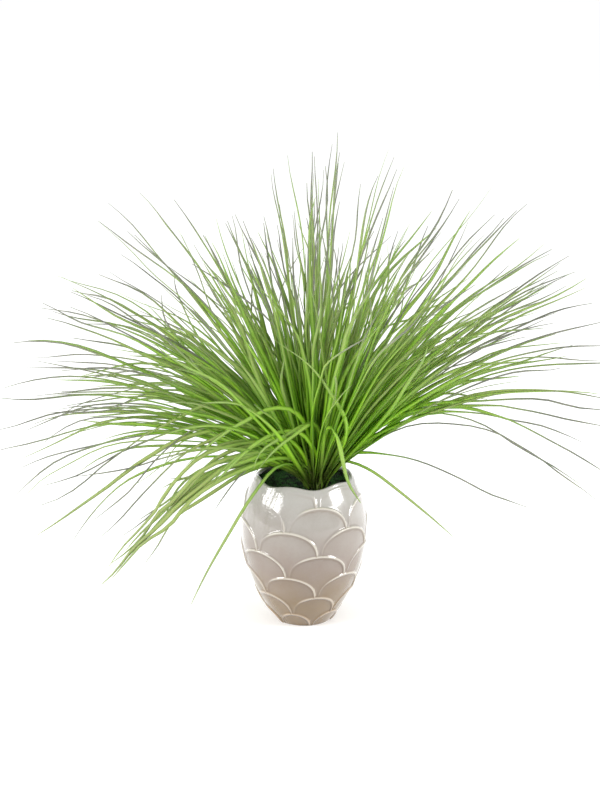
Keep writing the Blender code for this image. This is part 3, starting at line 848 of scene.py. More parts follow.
class Ridges:
    """The scale pattern's ridges as fields over the azimuth."""

    # Half of the azimuth that a ridge spans, and the shares of it over which its left end sinks, and how far
    reach = 27.5
    left_start, left_stop, left_loss = 0.35, 0.95, 0.6
    # The least length that a ridge keeps from the foot and the rim, and that over which it fades there
    foot_margin, rim_margin = 1.5 * MM, 4.0 * MM
    foot_fade, rim_fade = 4.0 * MM, 14.0 * MM
    # The share of its span beyond which a ridge gets no wider, and how many times as wide it may get
    steep_share, steepest = 0.985, 4.5
    # Where the glaze ran thick: its azimuth, half its span, from where to where it thins below the rim, and
    # how fast and how far it buries the ridges
    thick_azimuth, thick_reach = -43.0, 52.0
    thick_end, thin_start = 24.0 * MM, 50.0 * MM
    burying, most_buried = 1.5, 0.93

    def __init__(self, azimuth, rim, given):
        turned = azimuth - FIRST_ROW_AZIMUTH
        away = turned.calculate("PINGPONG", HALF_SCALE)
        self.rim = rim
        self.given = given
        self.off_thick_side = abs((azimuth - self.thick_azimuth + 180.0) % 360.0 - 180.0)
        self.even_left = (turned % (2.0 * HALF_SCALE)).above(HALF_SCALE)
        self.even_share = away / self.reach
        self.odd_share = (HALF_SCALE - away) / self.reach

    def share(self, row):
        """0 at the top of the row's nearest ridge, 1 at its feet."""
        return self.even_share.towards(self.odd_share, row % 2.0)

    def left_end(self, row):
        """1 at the left foot of a ridge, 0 at its top and all over its right half."""
        left = self.even_left.towards(1.0 - self.even_left, row % 2.0)
        return self.share(row).smooth(self.left_start, self.left_stop) * left

    def crest(self, row):
        """Length up the outline of a row's ridge."""
        share = self.share(row).least(1.0)
        drop = (1.0 - (1.0 - share * share).root()) * self.given["Ridge drop"]
        length = row * self.given["Row pitch"] + self.given["First ridge"] - drop
        return length.most(self.foot_margin).least(self.rim - self.rim_margin)

    def width(self, row, radius):
        """Half width of a ridge along the outline, more where the ridge runs steeply."""
        share = self.share(row).least(self.steep_share)
        run = radius * math.radians(self.reach)
        slope = self.given["Ridge drop"] * share / (1.0 - share * share).root() / run
        steepness = (slope * slope + 1.0).root().least(self.steepest)
        return steepness * self.given["Ridge half width"]

    def strength(self, row, length):
        """1 on a ridge, less near the pot's foot and rim, at its left end and in the gap beside it."""
        gap = (self.share(row) - 1.0) * (self.reach / (HALF_SCALE - self.reach))
        low = length / self.foot_fade
        high = (self.rim - length) / self.rim_fade
        whole = low.least(high).least(1.0 - gap).clamped() * (1.0 - self.left_end(row) * self.left_loss)
        return whole * (1.0 - (self.thick(length) * self.burying).least(self.most_buried))

    def thick(self, length):
        """1 where the glaze ran thick below the rim. There it buries the ridges and is rippled."""
        low = 1.0 - (self.rim - length).smooth(self.thick_end, self.thin_start)
        return bump(self.off_thick_side, self.thick_reach) * low


def pot_tree():
    """Turns the outline into the whole pot: its patterned outside, lip, inside and foot."""
    sizes = dict.fromkeys(POT_SIZES, 0.0)
    sketch, given = new_modelling_tree("scale pot", {"Columns": 384, "Levels": 140} | sizes)
    curve = given["Geometry"]
    full = sketch.field(sketch.add("GeometryNodeCurveLength", {"Curve": curve}).outputs[0])

    def rim_at(azimuth):
        lobes = ((azimuth - FIRST_ROW_AZIMUTH) * math.radians(SCALES_ROUND)).cosine()
        return full - RIM_MARGIN + lobes * given["Rim lobe"]

    whole = joined(
        sketch,
        pot_outside(sketch, given, curve, rim_at),
        pot_lip(sketch, given, curve, rim_at),
        pot_inside(sketch, given, curve, rim_at),
        pot_floor(sketch, given, curve),
        pot_underside(sketch, given),
    )
    closed = sketch.add("GeometryNodeMergeByDistance", {"Geometry": whole, "Distance": MERGE_DISTANCE})
    end_tree(sketch, closed.outputs[0], given["Material"])
    return sketch.tree


def pot_outside(sketch, given, curve, rim_at):
    """The outside, whose levels follow the ridges so that each runs along its own edges."""
    almost_one = 0.99999
    mesh, azimuth, up = sheet(sketch, given, given["Levels"])
    rim = rim_at(azimuth)
    ridges = Ridges(azimuth, rim, given)
    level = (up * (SCALE_ROWS + 1.0)).least(SCALE_ROWS + almost_one)
    above = level.floor()
    below = above - 1.0
    part = level - above
    part = part - crowding_shift(part, LEVEL_CROWDING)
    on_first = 1.0 - above.above(0.5)
    on_last = above.above(SCALE_ROWS - 0.5)
    low = ridges.crest(below) * (1.0 - on_first)
    high = ridges.crest(above).towards(rim, on_last)
    length = low.towards(high, part)
    under_crest = high - length
    point = OutlinePoint(sketch, curve, length)
    low_strength = ridges.strength(below, low) * (1.0 - on_first)
    high_strength = ridges.strength(above, high) * (1.0 - on_last)
    low_bead = bump(length - low, ridges.width(below, point.radius)) * low_strength
    high_bead = bump(under_crest, ridges.width(above, point.radius)) * high_strength
    step = (1.0 - under_crest.smooth(0.0, STEP_REACH)) * high_strength * given["Scale step"]
    from_below = low_bead * (given["Ridge height"] + given["Scale step"])
    lift = from_below.most(high_bead * given["Ridge height"] + step)
    lift = lift + unevenness(sketch, azimuth, point, rim, length)
    radius = point.radius + lift * point.run_up
    height = point.height - lift * point.run_out
    outside = wrapped(sketch, mesh, azimuth, radius, height.most(0.0))
    outside = named(sketch, outside, "ridge", low_bead.most(high_bead))
    # Glaze that pools along the lower edge of each ridge, with a painted shadow there and painted shade below it
    pool = pooled(under_crest, ridges.width(above, point.radius)) * high_strength * (1.0 - high_bead)
    outside = named(sketch, outside, "pool", pool)
    return named(sketch, outside, "thick", ridges.thick(length))


def unevenness(sketch, azimuth, point, rim, length):
    """The slight unevenness of the thrown wall, which fades out at the rim and the foot."""
    place = place_at(sketch, azimuth, point.radius, point.height)
    swell = (sketch.noise(place, UNEVEN_SCALE) - 0.5) * UNEVENNESS
    return swell * (rim - length).smooth(0.0, UNEVEN_RIM_FADE) * length.smooth(0.0, UNEVEN_FOOT_FADE)


def pooled(under_crest, half_width):
    """1 along the lower edge of a ridge, where glaze gathers and a shadow is painted, and less in a wider band of
    painted shade under it.
    """
    line_width, shade_share = 1.1, 0.3
    # Painted shade: a darker band that fades out down the scale under each ridge
    shade = (1.0 - under_crest.smooth(PAINTED_SHADE_START, PAINTED_SHADE_END)) * shade_share
    return bump(abs(under_crest / half_width - 1.0), line_width).most(shade)


def pot_lip(sketch, given, curve, rim_at):
    """The rounded lip, a half ellipse from the outside over to the inside."""
    levels = 12
    mesh, azimuth, up = sheet(sketch, given, levels)
    point = OutlinePoint(sketch, curve, rim_at(azimuth))
    angle = up * math.pi
    inwards = (1.0 - angle.cosine()) * 0.5 * given["Wall"]
    upwards = angle.sine() * LIP_HEIGHT
    radius = point.radius - inwards * point.run_up + upwards * point.run_out
    height = point.height + inwards * point.run_out + upwards * point.run_up
    return wrapped(sketch, mesh, azimuth, radius, height)


def pot_inside(sketch, given, curve, rim_at):
    """The inner wall, from the lip down to the floor, with its levels closer together near the lip."""
    levels, crowding = 26, 1.4
    mesh, azimuth, up = sheet(sketch, given, levels)
    rim = rim_at(azimuth)
    length = rim.towards(INNER_FLOOR_LENGTH, up ** crowding)
    point = OutlinePoint(sketch, curve, length)
    square = (rim - length).smooth(0.0, WALL_FADE)
    wall = given["Wall"].towards(LOWER_WALL, square)
    radius = point.radius - wall * point.run_up.towards(1.0, square)
    height = point.height + wall * point.run_out * (1.0 - square)
    return wrapped(sketch, mesh, azimuth, radius, height)


def pot_floor(sketch, given, curve):
    """The floor inside."""
    levels = 4
    mesh, azimuth, up = sheet(sketch, given, levels)
    point = OutlinePoint(sketch, curve, INNER_FLOOR_LENGTH)
    radius = (point.radius - LOWER_WALL) * (1.0 - up)
    return wrapped(sketch, mesh, azimuth, radius, point.height)


def pot_underside(sketch, given):
    """The flat foot ring and the shallow recess inside it, both without glaze."""
    levels = 14
    mesh, azimuth, up = sheet(sketch, given, levels)
    radius = up * FOOT[0]
    height = (FOOT[0] - radius).smooth(RECESS_START, RECESS_END) * RECESS_DEPTH
    return named(sketch, wrapped(sketch, mesh, azimuth, radius, height), "bare", 1.0)


def float_curve(sketch, value, points):
    """A smooth curve through points, as a field of a value from 0 to 1."""
    node = sketch.add("ShaderNodeFloatCurve", {"Value": value})
    line = node.mapping.curves[0]
    for place in points[1:-1]:
        line.points.new(*place)
    line.points[0].location = points[0]
    line.points[-1].location = points[-1]
    return sketch.field(node.outputs[0])


def attribute_field(sketch, name):
    node = sketch.add("GeometryNodeInputNamedAttribute", {"Name": name}, data_type="FLOAT")
    return sketch.field(node.outputs["Attribute"])


def leaf_tree():
    """Turns lines of points into keeled, tapering, gently waving leaves."""
    sketch, given = new_modelling_tree("leaf blades", {
        "Points": 22, "Width": 0.0, "Thickness share": 0.26, "Cup": 0.40,
        "Wave": 0.0, "Waves to a metre": 5.5,
        "Lowest corner": "NodeSocketVector", "Highest corner": "NodeSocketVector",
    })
    share = sketch.field(sketch.add("GeometryNodeSplineParameter").outputs["Factor"])
    place = sketch.add("GeometryNodeInputPosition").outputs[0]
    lines = sketch.add("GeometryNodeMeshToCurve", {"Mesh": given["Geometry"]}).outputs[0]
    rounded = sketch.add("GeometryNodeCurveSplineType", {"Curve": lines}, spline_type="CATMULL_ROM")
    counted = {"Curve": rounded.outputs[0], "Count": given["Points"]}
    even = sketch.add("GeometryNodeResampleCurve", counted, mode="COUNT")
    inside = sketch.vector_math("MINIMUM", waved(sketch, given, place, share), given["Highest corner"])
    inside = sketch.vector_math("MAXIMUM", inside, given["Lowest corner"])
    moved = sketch.add("GeometryNodeSetPosition", {"Geometry": even.outputs[0], "Position": inside})
    curve = named(sketch, moved.outputs[0], "along", share)
    curve = sketch.add("GeometryNodeSetCurveNormal", {"Curve": curve}, mode="Z_UP").outputs[0]
    tilt = attribute_field(sketch, "roll") + share * attribute_field(sketch, "twist")
    curve = sketch.add("GeometryNodeSetCurveTilt", {"Curve": curve, "Tilt": tilt}).outputs[0]
    half, whip, greyed = leaf_ends(sketch, given, share)
    curve = named(sketch, curve, "tip", greyed)
    held = sketch.add("GeometryNodeCaptureAttribute", {"Geometry": curve}, domain="POINT")
    for kind, name, value in (("VECTOR", "Middle", place), ("FLOAT", "Half", half), ("FLOAT", "Whip", whip)):
        held.capture_items.new(kind, name)
        plug(sketch.tree, held.inputs[name], value)
    swept = sketch.add("GeometryNodeCurveToMesh", {
        "Curve": held.outputs[0], "Profile Curve": leaf_profile(sketch, given),
        "Scale": half, "Fill Caps": True,
    })
    end_tree(sketch, rounded_whips(sketch, swept.outputs[0], held), given["Material"])
    return sketch.tree


def waved(sketch, given, place, share):
    """A place along a leaf, moved by the leaf's own waves, of which its tone makes each leaf's differ."""
    tone = attribute_field(sketch, "tone")
    shifted = sketch.vector_math("ADD", place, sketch.vector(*(tone * shift for shift in TONE_SHIFT)))
    noise = sketch.noise(shifted, given["Waves to a metre"], detail=1.0, output="Color")
    middle = (0.5, 0.5, 0.5)
    wander = sketch.vector_math("SUBTRACT", noise, middle)
    amount = share.smooth(WAVE_START, 1.0) * given["Wave"] * attribute_field(sketch, "waviness") * 2.0
    return sketch.vector_math("ADD", place, sketch.scaled(wander, amount))


def leaf_ends(sketch, given, share):
    """Along a leaf: half its width, how far it has become a whip, and how grey it is."""
    spear = attribute_field(sketch, "spear")
    whip_start = attribute_field(sketch, "whip_start")

    def past_start(before, after):
        return share.smooth(whip_start - before, whip_start + after) * (1.0 - spear)

    whip = past_start(*WHIP_TURN)
    whip_width = (1.0 - share.smooth(WHIP_END, 1.0) * WHIP_END_LOSS) * WHIP_WIDTH
    broad = float_curve(sketch, share, BROAD_TAPER).towards(float_curve(sketch, share, SPEAR_TAPER), spear)
    half = broad.towards(whip_width, whip) * attribute_field(sketch, "breadth") * given["Width"] * 0.5
    plain_grey = share.smooth(PLAIN_GREY_START, PLAIN_GREY_END) * PLAIN_GREY
    return half, whip, past_start(*GREY_TURN).most(plain_grey)


def leaf_profile(sketch, given):
    """A leaf's cross-section: a thin lens of half width 1, with its edges lifted over its keel."""
    ring = sketch.add("GeometryNodeCurvePrimitiveCircle", {"Resolution": 4, "Radius": 1.0}, mode="RADIUS")
    x, y, _ = sketch.parts(sketch.add("GeometryNodeInputPosition").outputs[0])
    place = sketch.vector(x, y * given["Thickness share"] + x * x * given["Cup"], 0.0)
    moved = sketch.add("GeometryNodeSetPosition", {"Geometry": ring.outputs[0], "Position": place})
    return named(sketch, moved.outputs[0], "across", x)


def rounded_whips(sketch, leaves, held):
    """Gives the whips a round section, so that they look as thick from every side."""
    middle, half, whip = (held.outputs[name] for name in ("Middle", "Half", "Whip"))
    out = sketch.vector_math("SUBTRACT", sketch.add("GeometryNodeInputPosition").outputs[0], middle)
    round_out = sketch.scaled(sketch.vector_math("NORMALIZE", out), half)
    change = sketch.scaled(sketch.vector_math("SUBTRACT", round_out, out), whip)
    return sketch.add("GeometryNodeSetPosition", {"Geometry": leaves, "Offset": change}).outputs[0]


def near_level(height):
    """Whether a height is that of a sheath's foot or top."""
    for name, wanted in (("foot", FOOT_HEIGHT), ("top", FOOT_HEIGHT + SHEATH_HEIGHT)):
        if abs(height - wanted) < MERGE_DISTANCE:
            return name
    return None


def neighbours(vert):
    return [edge.other_vert(vert) for edge in vert.link_edges]


def centre(verts):
    total = Vector()
    for vert in verts:
        total += vert.co
    return total / len(verts)


def leaf_lines(node):
    """Centre lines of a CAD node's leaves, each from the sheath's foot to the leaf's tip."""
    bm = merged(node)
    level = {vert: near_level(vert.co.z) for vert in bm.verts}
    foot = centre([vert for vert in bm.verts if level[vert] == "foot"])
    rings_up = {vert: 0 for vert in bm.verts if level[vert] is not None}
    waiting = list(rings_up)
    for vert in waiting:
        for other in neighbours(vert):
            if other not in rings_up:
                rings_up[other] = rings_up[vert] + 1
                waiting.append(other)
    lines = []
    for tip in bm.verts:
        if rings_up[tip] == 0 or max(rings_up[vert] for vert in neighbours(tip)) >= rings_up[tip]:
            continue
        line, ring = [tip.co.copy()], {tip}
        for number in range(rings_up[tip] - 1, -1, -1):
            ring = {
                vert for upper in ring for vert in neighbours(upper)
                if rings_up[vert] == number and level[vert] != "foot"
            }
            line.append(centre(ring))
        line.append(foot)
        lines.append(line[::-1])
    bm.free()
    return sorted(lines, key=lambda line: tuple(line[-1]))


def bent_line(line, turn, swing, lean, droop, scale):
    """A leaf's line turned and leaned about its root, swung and drooping more towards its tip, and rescaled.

    The four angles are in degrees.
    """
    tiny = 1e-6
    made = line[:2]
    steps = [after - before for before, after in zip(line[1:], line[2:])]
    for number, step in enumerate(steps):
        share = (number + 1) / len(steps)
        flat = Vector((step.x, step.y, 0.0))
        if flat.length < tiny:
            flat = Vector((tiny, 0.0, 0.0))
        over = Vector((-flat.y, flat.x, 0.0)).normalized()
        step = Matrix.Rotation(math.radians(lean + droop * share), 3, over) @ step
        step = Matrix.Rotation(math.radians(turn + swing * share), 3, "Z") @ step
        made.append(made[-1] + step * scale)
    return made


class PotGuard:
    """Tells whether a leaf keeps clear of the pot and stays in the CAD box."""

    # How far a leaf stays off the pot, and at how many places each piece of its line is tried
    spare = 3.0 * MM
    steps = 6

    def __init__(self):
        bm = merged("pot")
        self.tree = BVHTree.FromBMesh(bm)
        bm.free()

    def clears(self, line):
        for before, after in zip(line[1:], line[2:]):
            for step in range(1, self.steps + 1):
                point = before.lerp(after, step / self.steps)
                if self.tree.find_nearest(point, self.spare)[0] is not None:
                    return False
        low, high = CAD_BOX
        return all(low[axis] < point[axis] < high[axis] for point in line for axis in range(3))


def above_right_gap(line):
    """Whether a leaf, as the camera sees it, stays clear of the gap over the pot's right shoulder."""
    reaches = [point - line[0] for point in line]
    rises = [reach.z + SEEN_FROM_ABOVE * reach.y for reach in reaches]
    middle = len(line) // 2
    steady = all(rise >= LEAST_RISE * reach.x for rise, reach in zip(rises, reaches))
    return steady and rises[middle] > LEAST_MIDDLE_RISE * reaches[middle].x


def drawn_in(line, depth):
    """A leaf's line with what it reaches to the front or back multiplied by depth."""
    root = line[0]
    return [Vector((point.x, root.y + (point.y - root.y) * depth, point.z)) for point in line]


def held_between(value, low, high):
    return min(max(value, low), high)


def filling_share(line):
    """How many extra leaves a leaf gets, against the usual number: more where it is upright or goes left."""
    reach = line[-1] - line[0]
    elevation = math.degrees(math.atan2(reach.z, math.hypot(reach.x, reach.y)))
    upright = held_between((elevation - FLAT_ELEVATION) / (UPRIGHT_ELEVATION - FLAT_ELEVATION), 0.0, 1.0)
    left = held_between(-reach.x / reach.length, -1.0, 1.0)
    return (FLAT_SHARE + UPRIGHT_GAIN * upright) * (1.0 + LEFT_GAIN * left)


def shortened(line):
    """A leaf's line, shortened until it ends below the tallest and short of the leftmost place wanted."""
    for percent in range(100, 50, -2):
        made = bent_line(line, 0.0, 0.0, 0.0, 0.0, percent / 100.0)
        if made[-1].z < TALLEST and made[-1].x > LEFTMOST:
            return made
    return made


def gathered(line):
    """A leaf's line with its lower part drawn in towards the crown's middle."""
    made, length, before = [], 0.0, line[0]
    for point in line:
        length += (point - before).length
        before = point
        share = GATHER * max(1.0 - length / GATHER_LENGTH, 0.0) ** 2
        made.append(point.lerp(Vector((*CROWN, point.z)), share))
    return made


def filling_leaf(line, spread, guard, chance):
    """A leaf beside another, as its line and its traits, or None where no try at it finds room."""
    for _ in range(FILLER_TRIES):
        length = chance.triangular(*FILLER_LENGTHS)
        turn = chance.uniform(*FILLER_TURNS) * spread
        lean = chance.uniform(*FILLER_LEANS) * spread
        swing = chance.gauss(-turn, chance.choice(FILLER_SWINGS))
        droop = chance.gauss(FILLER_DROOP - lean, FILLER_DROOP_SPREAD)
        depth = chance.choice(FILLER_DEPTHS)
        candidate = drawn_in(shortened(bent_line(line, turn, swing, lean, droop, length)), depth)
        if guard.clears(candidate) and above_right_gap(candidate):
            return candidate, {"spear": 1.0} if length < SHORT_FILLER else {}
    return None


def filling_leaves(lines, settings, guard, chance):
    """Extra leaves beside a tuft's own, the short ones without a whip."""
    made = []
    for line in lines:
        for _ in range(int(settings.fillers * filling_share(line) + chance.random())):
            leaf = filling_leaf(line, chance.choice(FILLER_SPREADS), guard, chance)
            if leaf:
                made.append(leaf)
    return made


def seen_at(across, down, depth):
    """The place that the picture shows at a pixel, where its y is the depth in millimetres."""
    right, up = across - PICTURE_WIDTH / 2, PICTURE_HEIGHT / 2 - down
    level, steep = math.cos(VIEW_PITCH), math.sin(VIEW_PITCH)
    eye = LOOK_AT + Vector((0.0, -level, steep)) * VIEW_DISTANCE
    sight = Vector((right, FOCAL_LENGTH * level + up * steep, up * level - FOCAL_LENGTH * steep))
    return eye + sight * ((depth * MM - eye.y) / sight.y)


def drawn_leaves(node):
    """The drawn leaves of a CAD node, each as its line and its traits."""
    made = []
    for breadth, roll, twist, whip_start, tone, fading, path in DRAWN_LEAVES.get(node, ()):
        line = [seen_at(*point) for point in path]
        foot = Vector((line[0].x, line[0].y, FOOT_HEIGHT))
        made.append(([foot, *line], {
            "breadth": breadth, "roll": math.radians(roll), "twist": math.radians(twist), "tone": tone,
            "whip_start": whip_start, "spear": float(whip_start == 1.0), "waviness": DRAWN_WAVINESS,
            "fading": fading,
        }))
    return made


def leaf_traits(chance):
    """A leaf's own tone, breadth, roll, twist and kind of end."""
    return {
        "tone": chance.random() ** TONE_POWER,
        "breadth": chance.uniform(*BREADTHS),
        "roll": math.radians(chance.gauss(*ROLL)),
        "twist": math.radians(chance.gauss(*TWIST)),
        "spear": float(chance.random() < SPEAR_SHARE),
        "whip_start": chance.triangular(*WHIP_STARTS),
        "waviness": 1.0,
        "fading": chance.uniform(*FADINGS),
    }


def node_leaves(node, settings, guard, chance):
    """The leaves that stand for a CAD node, each as its line and all its traits."""
    leaves = drawn_leaves(node)
    if not leaves:
        leaves = [(gathered(shortened(line)), {}) for line in leaf_lines(node)]
        leaves += filling_leaves([line for line, _ in leaves], settings, guard, chance)
    return [(line, leaf_traits(chance) | traits) for line, traits in leaves]


def lines_mesh(name, leaves, chance):
    """Leaves' lines as edges, with each leaf's root scattered and its traits on its points."""
    points, edges, values = [], [], {}
    for line, traits in leaves:
        shift = Vector((chance.uniform(-1.0, 1.0), chance.uniform(-1.0, 1.0), 0.0)) * ROOT_SCATTER
        first = len(points)
        points += [point + shift for point in line[:2]] + line[2:]
        for key, value in traits.items():
            values.setdefault(key, []).extend([value] * len(line))
        edges += [(k, k + 1) for k in range(first, len(points) - 1)]
    mesh = bpy.data.meshes.new(name)
    mesh.from_pydata(points, edges, [])
    for key, numbers in values.items():
        mesh.attributes.new(key, "FLOAT", "POINT").data.foreach_set("value", numbers)
    return mesh


def random_value(sketch, kind, low, high, seed):
    """A random number or vector for each point, by the node's kind of data."""
    ending = "_001" if kind == "FLOAT" else ""
    node = sketch.add("FunctionNodeRandomValue", data_type=kind)
    for identifier, value in (("Min" + ending, low), ("Max" + ending, high), ("Seed", seed)):
        plug(sketch.tree, identified(node.inputs, identifier), value)
    return sketch.field(identified(node.outputs, "Value" + ending))


def moss_tree():
    """Sets small sprigs all over a bed of moss."""
    sketch, given = new_modelling_tree("moss sprigs", {"Density": 0.0, "Sprig length": 0.0, "Seed": 0})
    bed, seed = given["Geometry"], given["Seed"]
    facing = sketch.parts(sketch.add("GeometryNodeInputNormal").outputs[0])[2].above(SPRIG_FACING)
    scatter = sketch.add("GeometryNodeDistributePointsOnFaces", {
        "Mesh": bed, "Selection": facing, "Density": given["Density"], "Seed": seed,
    }, distribute_method="RANDOM")
    leaflet = sketch.add("GeometryNodeMeshCone", {
        "Vertices": 3, "Side Segments": 2, "Fill Segments": 1,
        "Radius Top": SPRIG_TOP, "Radius Bottom": SPRIG_FOOT, "Depth": 1.0,
    })
    lowest, highest = (-SPRIG_LEAN, -SPRIG_LEAN, 0.0), (SPRIG_LEAN, SPRIG_LEAN, math.tau)
    spin = random_value(sketch, "FLOAT_VECTOR", lowest, highest, seed)
    spin = sketch.add("FunctionNodeEulerToRotation", {0: spin}).outputs[0]
    turned = sketch.add("FunctionNodeRotateRotation", {
        "Rotation": scatter.outputs["Rotation"], "Rotate By": spin,
    }, rotation_space="LOCAL")
    size = random_value(sketch, "FLOAT", *SPRIG_SIZES, seed + 1.0) * given["Sprig length"]
    sprigs = sketch.add("GeometryNodeInstanceOnPoints", {
        "Points": scatter.outputs["Points"], "Instance": leaflet.outputs["Mesh"],
        "Rotation": turned.outputs[0], "Scale": size,
    })
    tone = random_value(sketch, "FLOAT", 0.0, 1.0, seed + 2.0)
    toned = named(sketch, sprigs.outputs[0], "tone", tone, domain="INSTANCE")
    end_tree(sketch, joined(sketch, bed, toned), given["Material"])
    return sketch.tree


def pot_radius(height):
    """The pot's outside radius at a height between its belly and its rim."""
    ends = [Vector((radius, 0.0, up)) for radius, up in (BELLY, BELLY_ABOVE, RIM_HANDLE, RIM)]
    points = interpolate_bezier(*ends, OUTLINE_STEPS)
    return next(point.x for point in reversed(points) if point.z <= height)


class MossSurface:
    """The top of the moss: a lumpy round that fills the pot's mouth, higher at its back and sides."""

    # How far the bed has risen in the middle, and how much each radius to the back and the side adds
    middle_rise, back_rise, side_rise = 0.4, 0.8, 0.4

    def __init__(self, seed, wall):
        chance = random.Random(seed)
        self.wall = wall
        self.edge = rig.box("moss")[1].x
        self.waves = [
            (chance.uniform(*MOSS_WAVE_TURNS), chance.uniform(0.0, math.tau), chance.uniform(0.0, math.tau))
            for _ in range(MOSS_WAVES)
        ]

    def height(self, x, y):
        waves = (math.sin(f * (x * math.cos(a) + y * math.sin(a)) + b) for f, a, b in self.waves)
        lump = sum(waves) / MOSS_WAVES
        rise = self.middle_rise + (y * self.back_rise + abs(x) * self.side_rise) / self.edge
        return SOIL_TOP + MOSS_HEIGHT + lump * MOSS_LUMP + held_between(rise, 0.0, 1.0) * MOSS_RISE

    def place(self, column, share):
        """The place in a column at a share of the way from the middle to the pot's wall."""
        angle = math.tau * column / MOSS_COLUMNS
        across, back = math.cos(angle), math.sin(angle)
        mouth = pot_radius(self.height(self.edge * across, self.edge * back)) - self.wall + MOSS_PRESS
        reach = min(self.edge, mouth) * share
        return reach * across, reach * back, self.height(reach * across, reach * back)


def moss_bed(seed, wall):
    """The bed of moss as a closed mesh: its top, its side and a flat underside."""
    surface = MossSurface(seed, wall)
    bm = bmesh.new()
    middle = bm.verts.new(surface.place(0, 0.0))
    rings = [
        [bm.verts.new(surface.place(column, ring / MOSS_RINGS)) for column in range(MOSS_COLUMNS)]
        for ring in range(1, MOSS_RINGS + 1)
    ]
    turns = [(column, (column + 1) % MOSS_COLUMNS) for column in range(MOSS_COLUMNS)]
    for column, after in turns:
        bm.faces.new((middle, rings[0][column], rings[0][after]))
        for low, high in zip(rings, rings[1:]):
            bm.faces.new((low[column], high[column], high[after], low[after]))
    edge = rings[-1]
    under = [bm.verts.new((vert.co.x, vert.co.y, MOSS_BOTTOM)) for vert in edge]
    for column, after in turns:
        bm.faces.new((edge[column], under[column], under[after], edge[after]))
    bm.faces.new(list(reversed(under)))
    bmesh.ops.recalc_face_normals(bm, faces=bm.faces)
    return ended_mesh("moss bed", bm)


def ended_mesh(name, bm):
    """A bmesh as a mesh."""
    mesh = bpy.data.meshes.new(name)
    bm.to_mesh(mesh)
    bm.free()
    return mesh


def new_material(name):
    """A material with its sketch and its shader."""
    material = bpy.data.materials.new(name)
    material.use_nodes = True
    return material, Sketch(material.node_tree), material.node_tree.nodes["Principled BSDF"]


def finish_shader(sketch, shader, values):
    """Sets the shader's inputs by name: what varies is linked, and the rest is set on the shader itself."""
    for name, value in values.items():
        plug(sketch.tree, shader.inputs[name], value)


def mottle_group():
    """Soft patches and fine grain over the surface, for every material here."""
    name, mask_start, mask_end = "mottle", 0.3, 0.7
    if name in bpy.data.node_groups:
        return bpy.data.node_groups[name]
    inputs = {"Patch scale": 60.0, "Grain scale": 900.0, "Grain share": 0.3}
    outputs = {"Mask": "NodeSocketFloat", "Height": "NodeSocketFloat"}
    sketch = Sketch(new_group(name, "ShaderNodeTree", inputs, outputs))
    given = sketch.add("NodeGroupInput").outputs
    place = sketch.add("ShaderNodeTexCoord").outputs["Object"]
    patches = sketch.noise(place, given["Patch scale"], detail=3.0)
    grain = sketch.noise(place, given["Grain scale"], detail=2.0)
    height = patches.towards(grain, given["Grain share"])
    sketch.add("NodeGroupOutput", {"Mask": height.smooth(mask_start, mask_end), "Height": height})
    return sketch.tree


def mottle(sketch, patch_scale, grain_scale, grain_share):
    """The mottle group placed in a material with its own values: its mask and its height."""
    values = {"Patch scale": patch_scale, "Grain scale": grain_scale, "Grain share": grain_share}
    node = sketch.add("ShaderNodeGroup", values, node_tree=mottle_group())
    return sketch.field(node.outputs["Mask"]), sketch.field(node.outputs["Height"])


def shader_attribute(sketch, name):
    return sketch.field(sketch.add("ShaderNodeAttribute", attribute_name=name).outputs["Fac"])


def bumped(sketch, height, distance, strength=1.0):
    """A normal that raises the surface by a height times a distance."""
    values = {"Height": height, "Distance": distance, "Strength": strength}
    return sketch.add("ShaderNodeBump", values).outputs[0]


def glaze_material(settings):
    """Glossy glaze: white at the rim, tan at the foot, thin and pale on the ridges, pooled below them and darker there
    with painted shade.
    """
    patchiness, low_ridge_end = 0.10, 0.5
    ridge_start, ridge_end, ridge_share = 0.25, 0.9, 0.85
    bare_start, bare_end = 0.4, 0.9
    glossy, gloss_change, clay_roughness = 0.14, 0.08, 0.75
    ripple_scale, ripple_height, relief_height = 300.0, 1.8, 0.25
    material, sketch, shader = new_material("glaze")
    place = sketch.add("ShaderNodeTexCoord").outputs["Object"]
    mask, relief = mottle(sketch, patch_scale=34.0, grain_scale=420.0, grain_share=0.18)
    ridge, pool, thick = (shader_attribute(sketch, name) for name in ("ridge", "pool", "thick"))
    bare = shader_attribute(sketch, "bare").smooth(bare_start, bare_end)
    share = sketch.parts(place)[2] / POT_HEIGHT + (mask - 0.5) * patchiness
    colours = (settings.foot_glaze, settings.belly_glaze, settings.shoulder_glaze, settings.rim_glaze)
    body = sketch.ramp(share, GLAZE_PLACES, colours)
    pale = sketch.mixed(share.smooth(0.0, low_ridge_end), settings.low_ridge_glaze, settings.ridge_glaze)
    with_ridge = sketch.mixed(ridge.smooth(ridge_start, ridge_end) * ridge_share, body, pale)
    # Darkens the glaze where it pools under each ridge, and with painted shade below it
    glazed = sketch.mixed(pool, with_ridge, settings.pool_and_shade_tint, blend="MULTIPLY")
    ripples = sketch.noise(place, ripple_scale, detail=1.0) * thick * ripple_height
    finish_shader(sketch, shader, {
        "Base Color": sketch.mixed(bare, glazed, BARE_CLAY),
        "Roughness": (mask * gloss_change + glossy).towards(clay_roughness, bare),
        "Coat Weight": 1.0 - bare,
        "Coat Roughness": 0.03,
        "Coat IOR": 1.5,
        "IOR": 1.5,
        "Normal": bumped(sketch, relief * relief_height + ripples, distance=0.5 * MM, strength=0.6),
    })
    return material


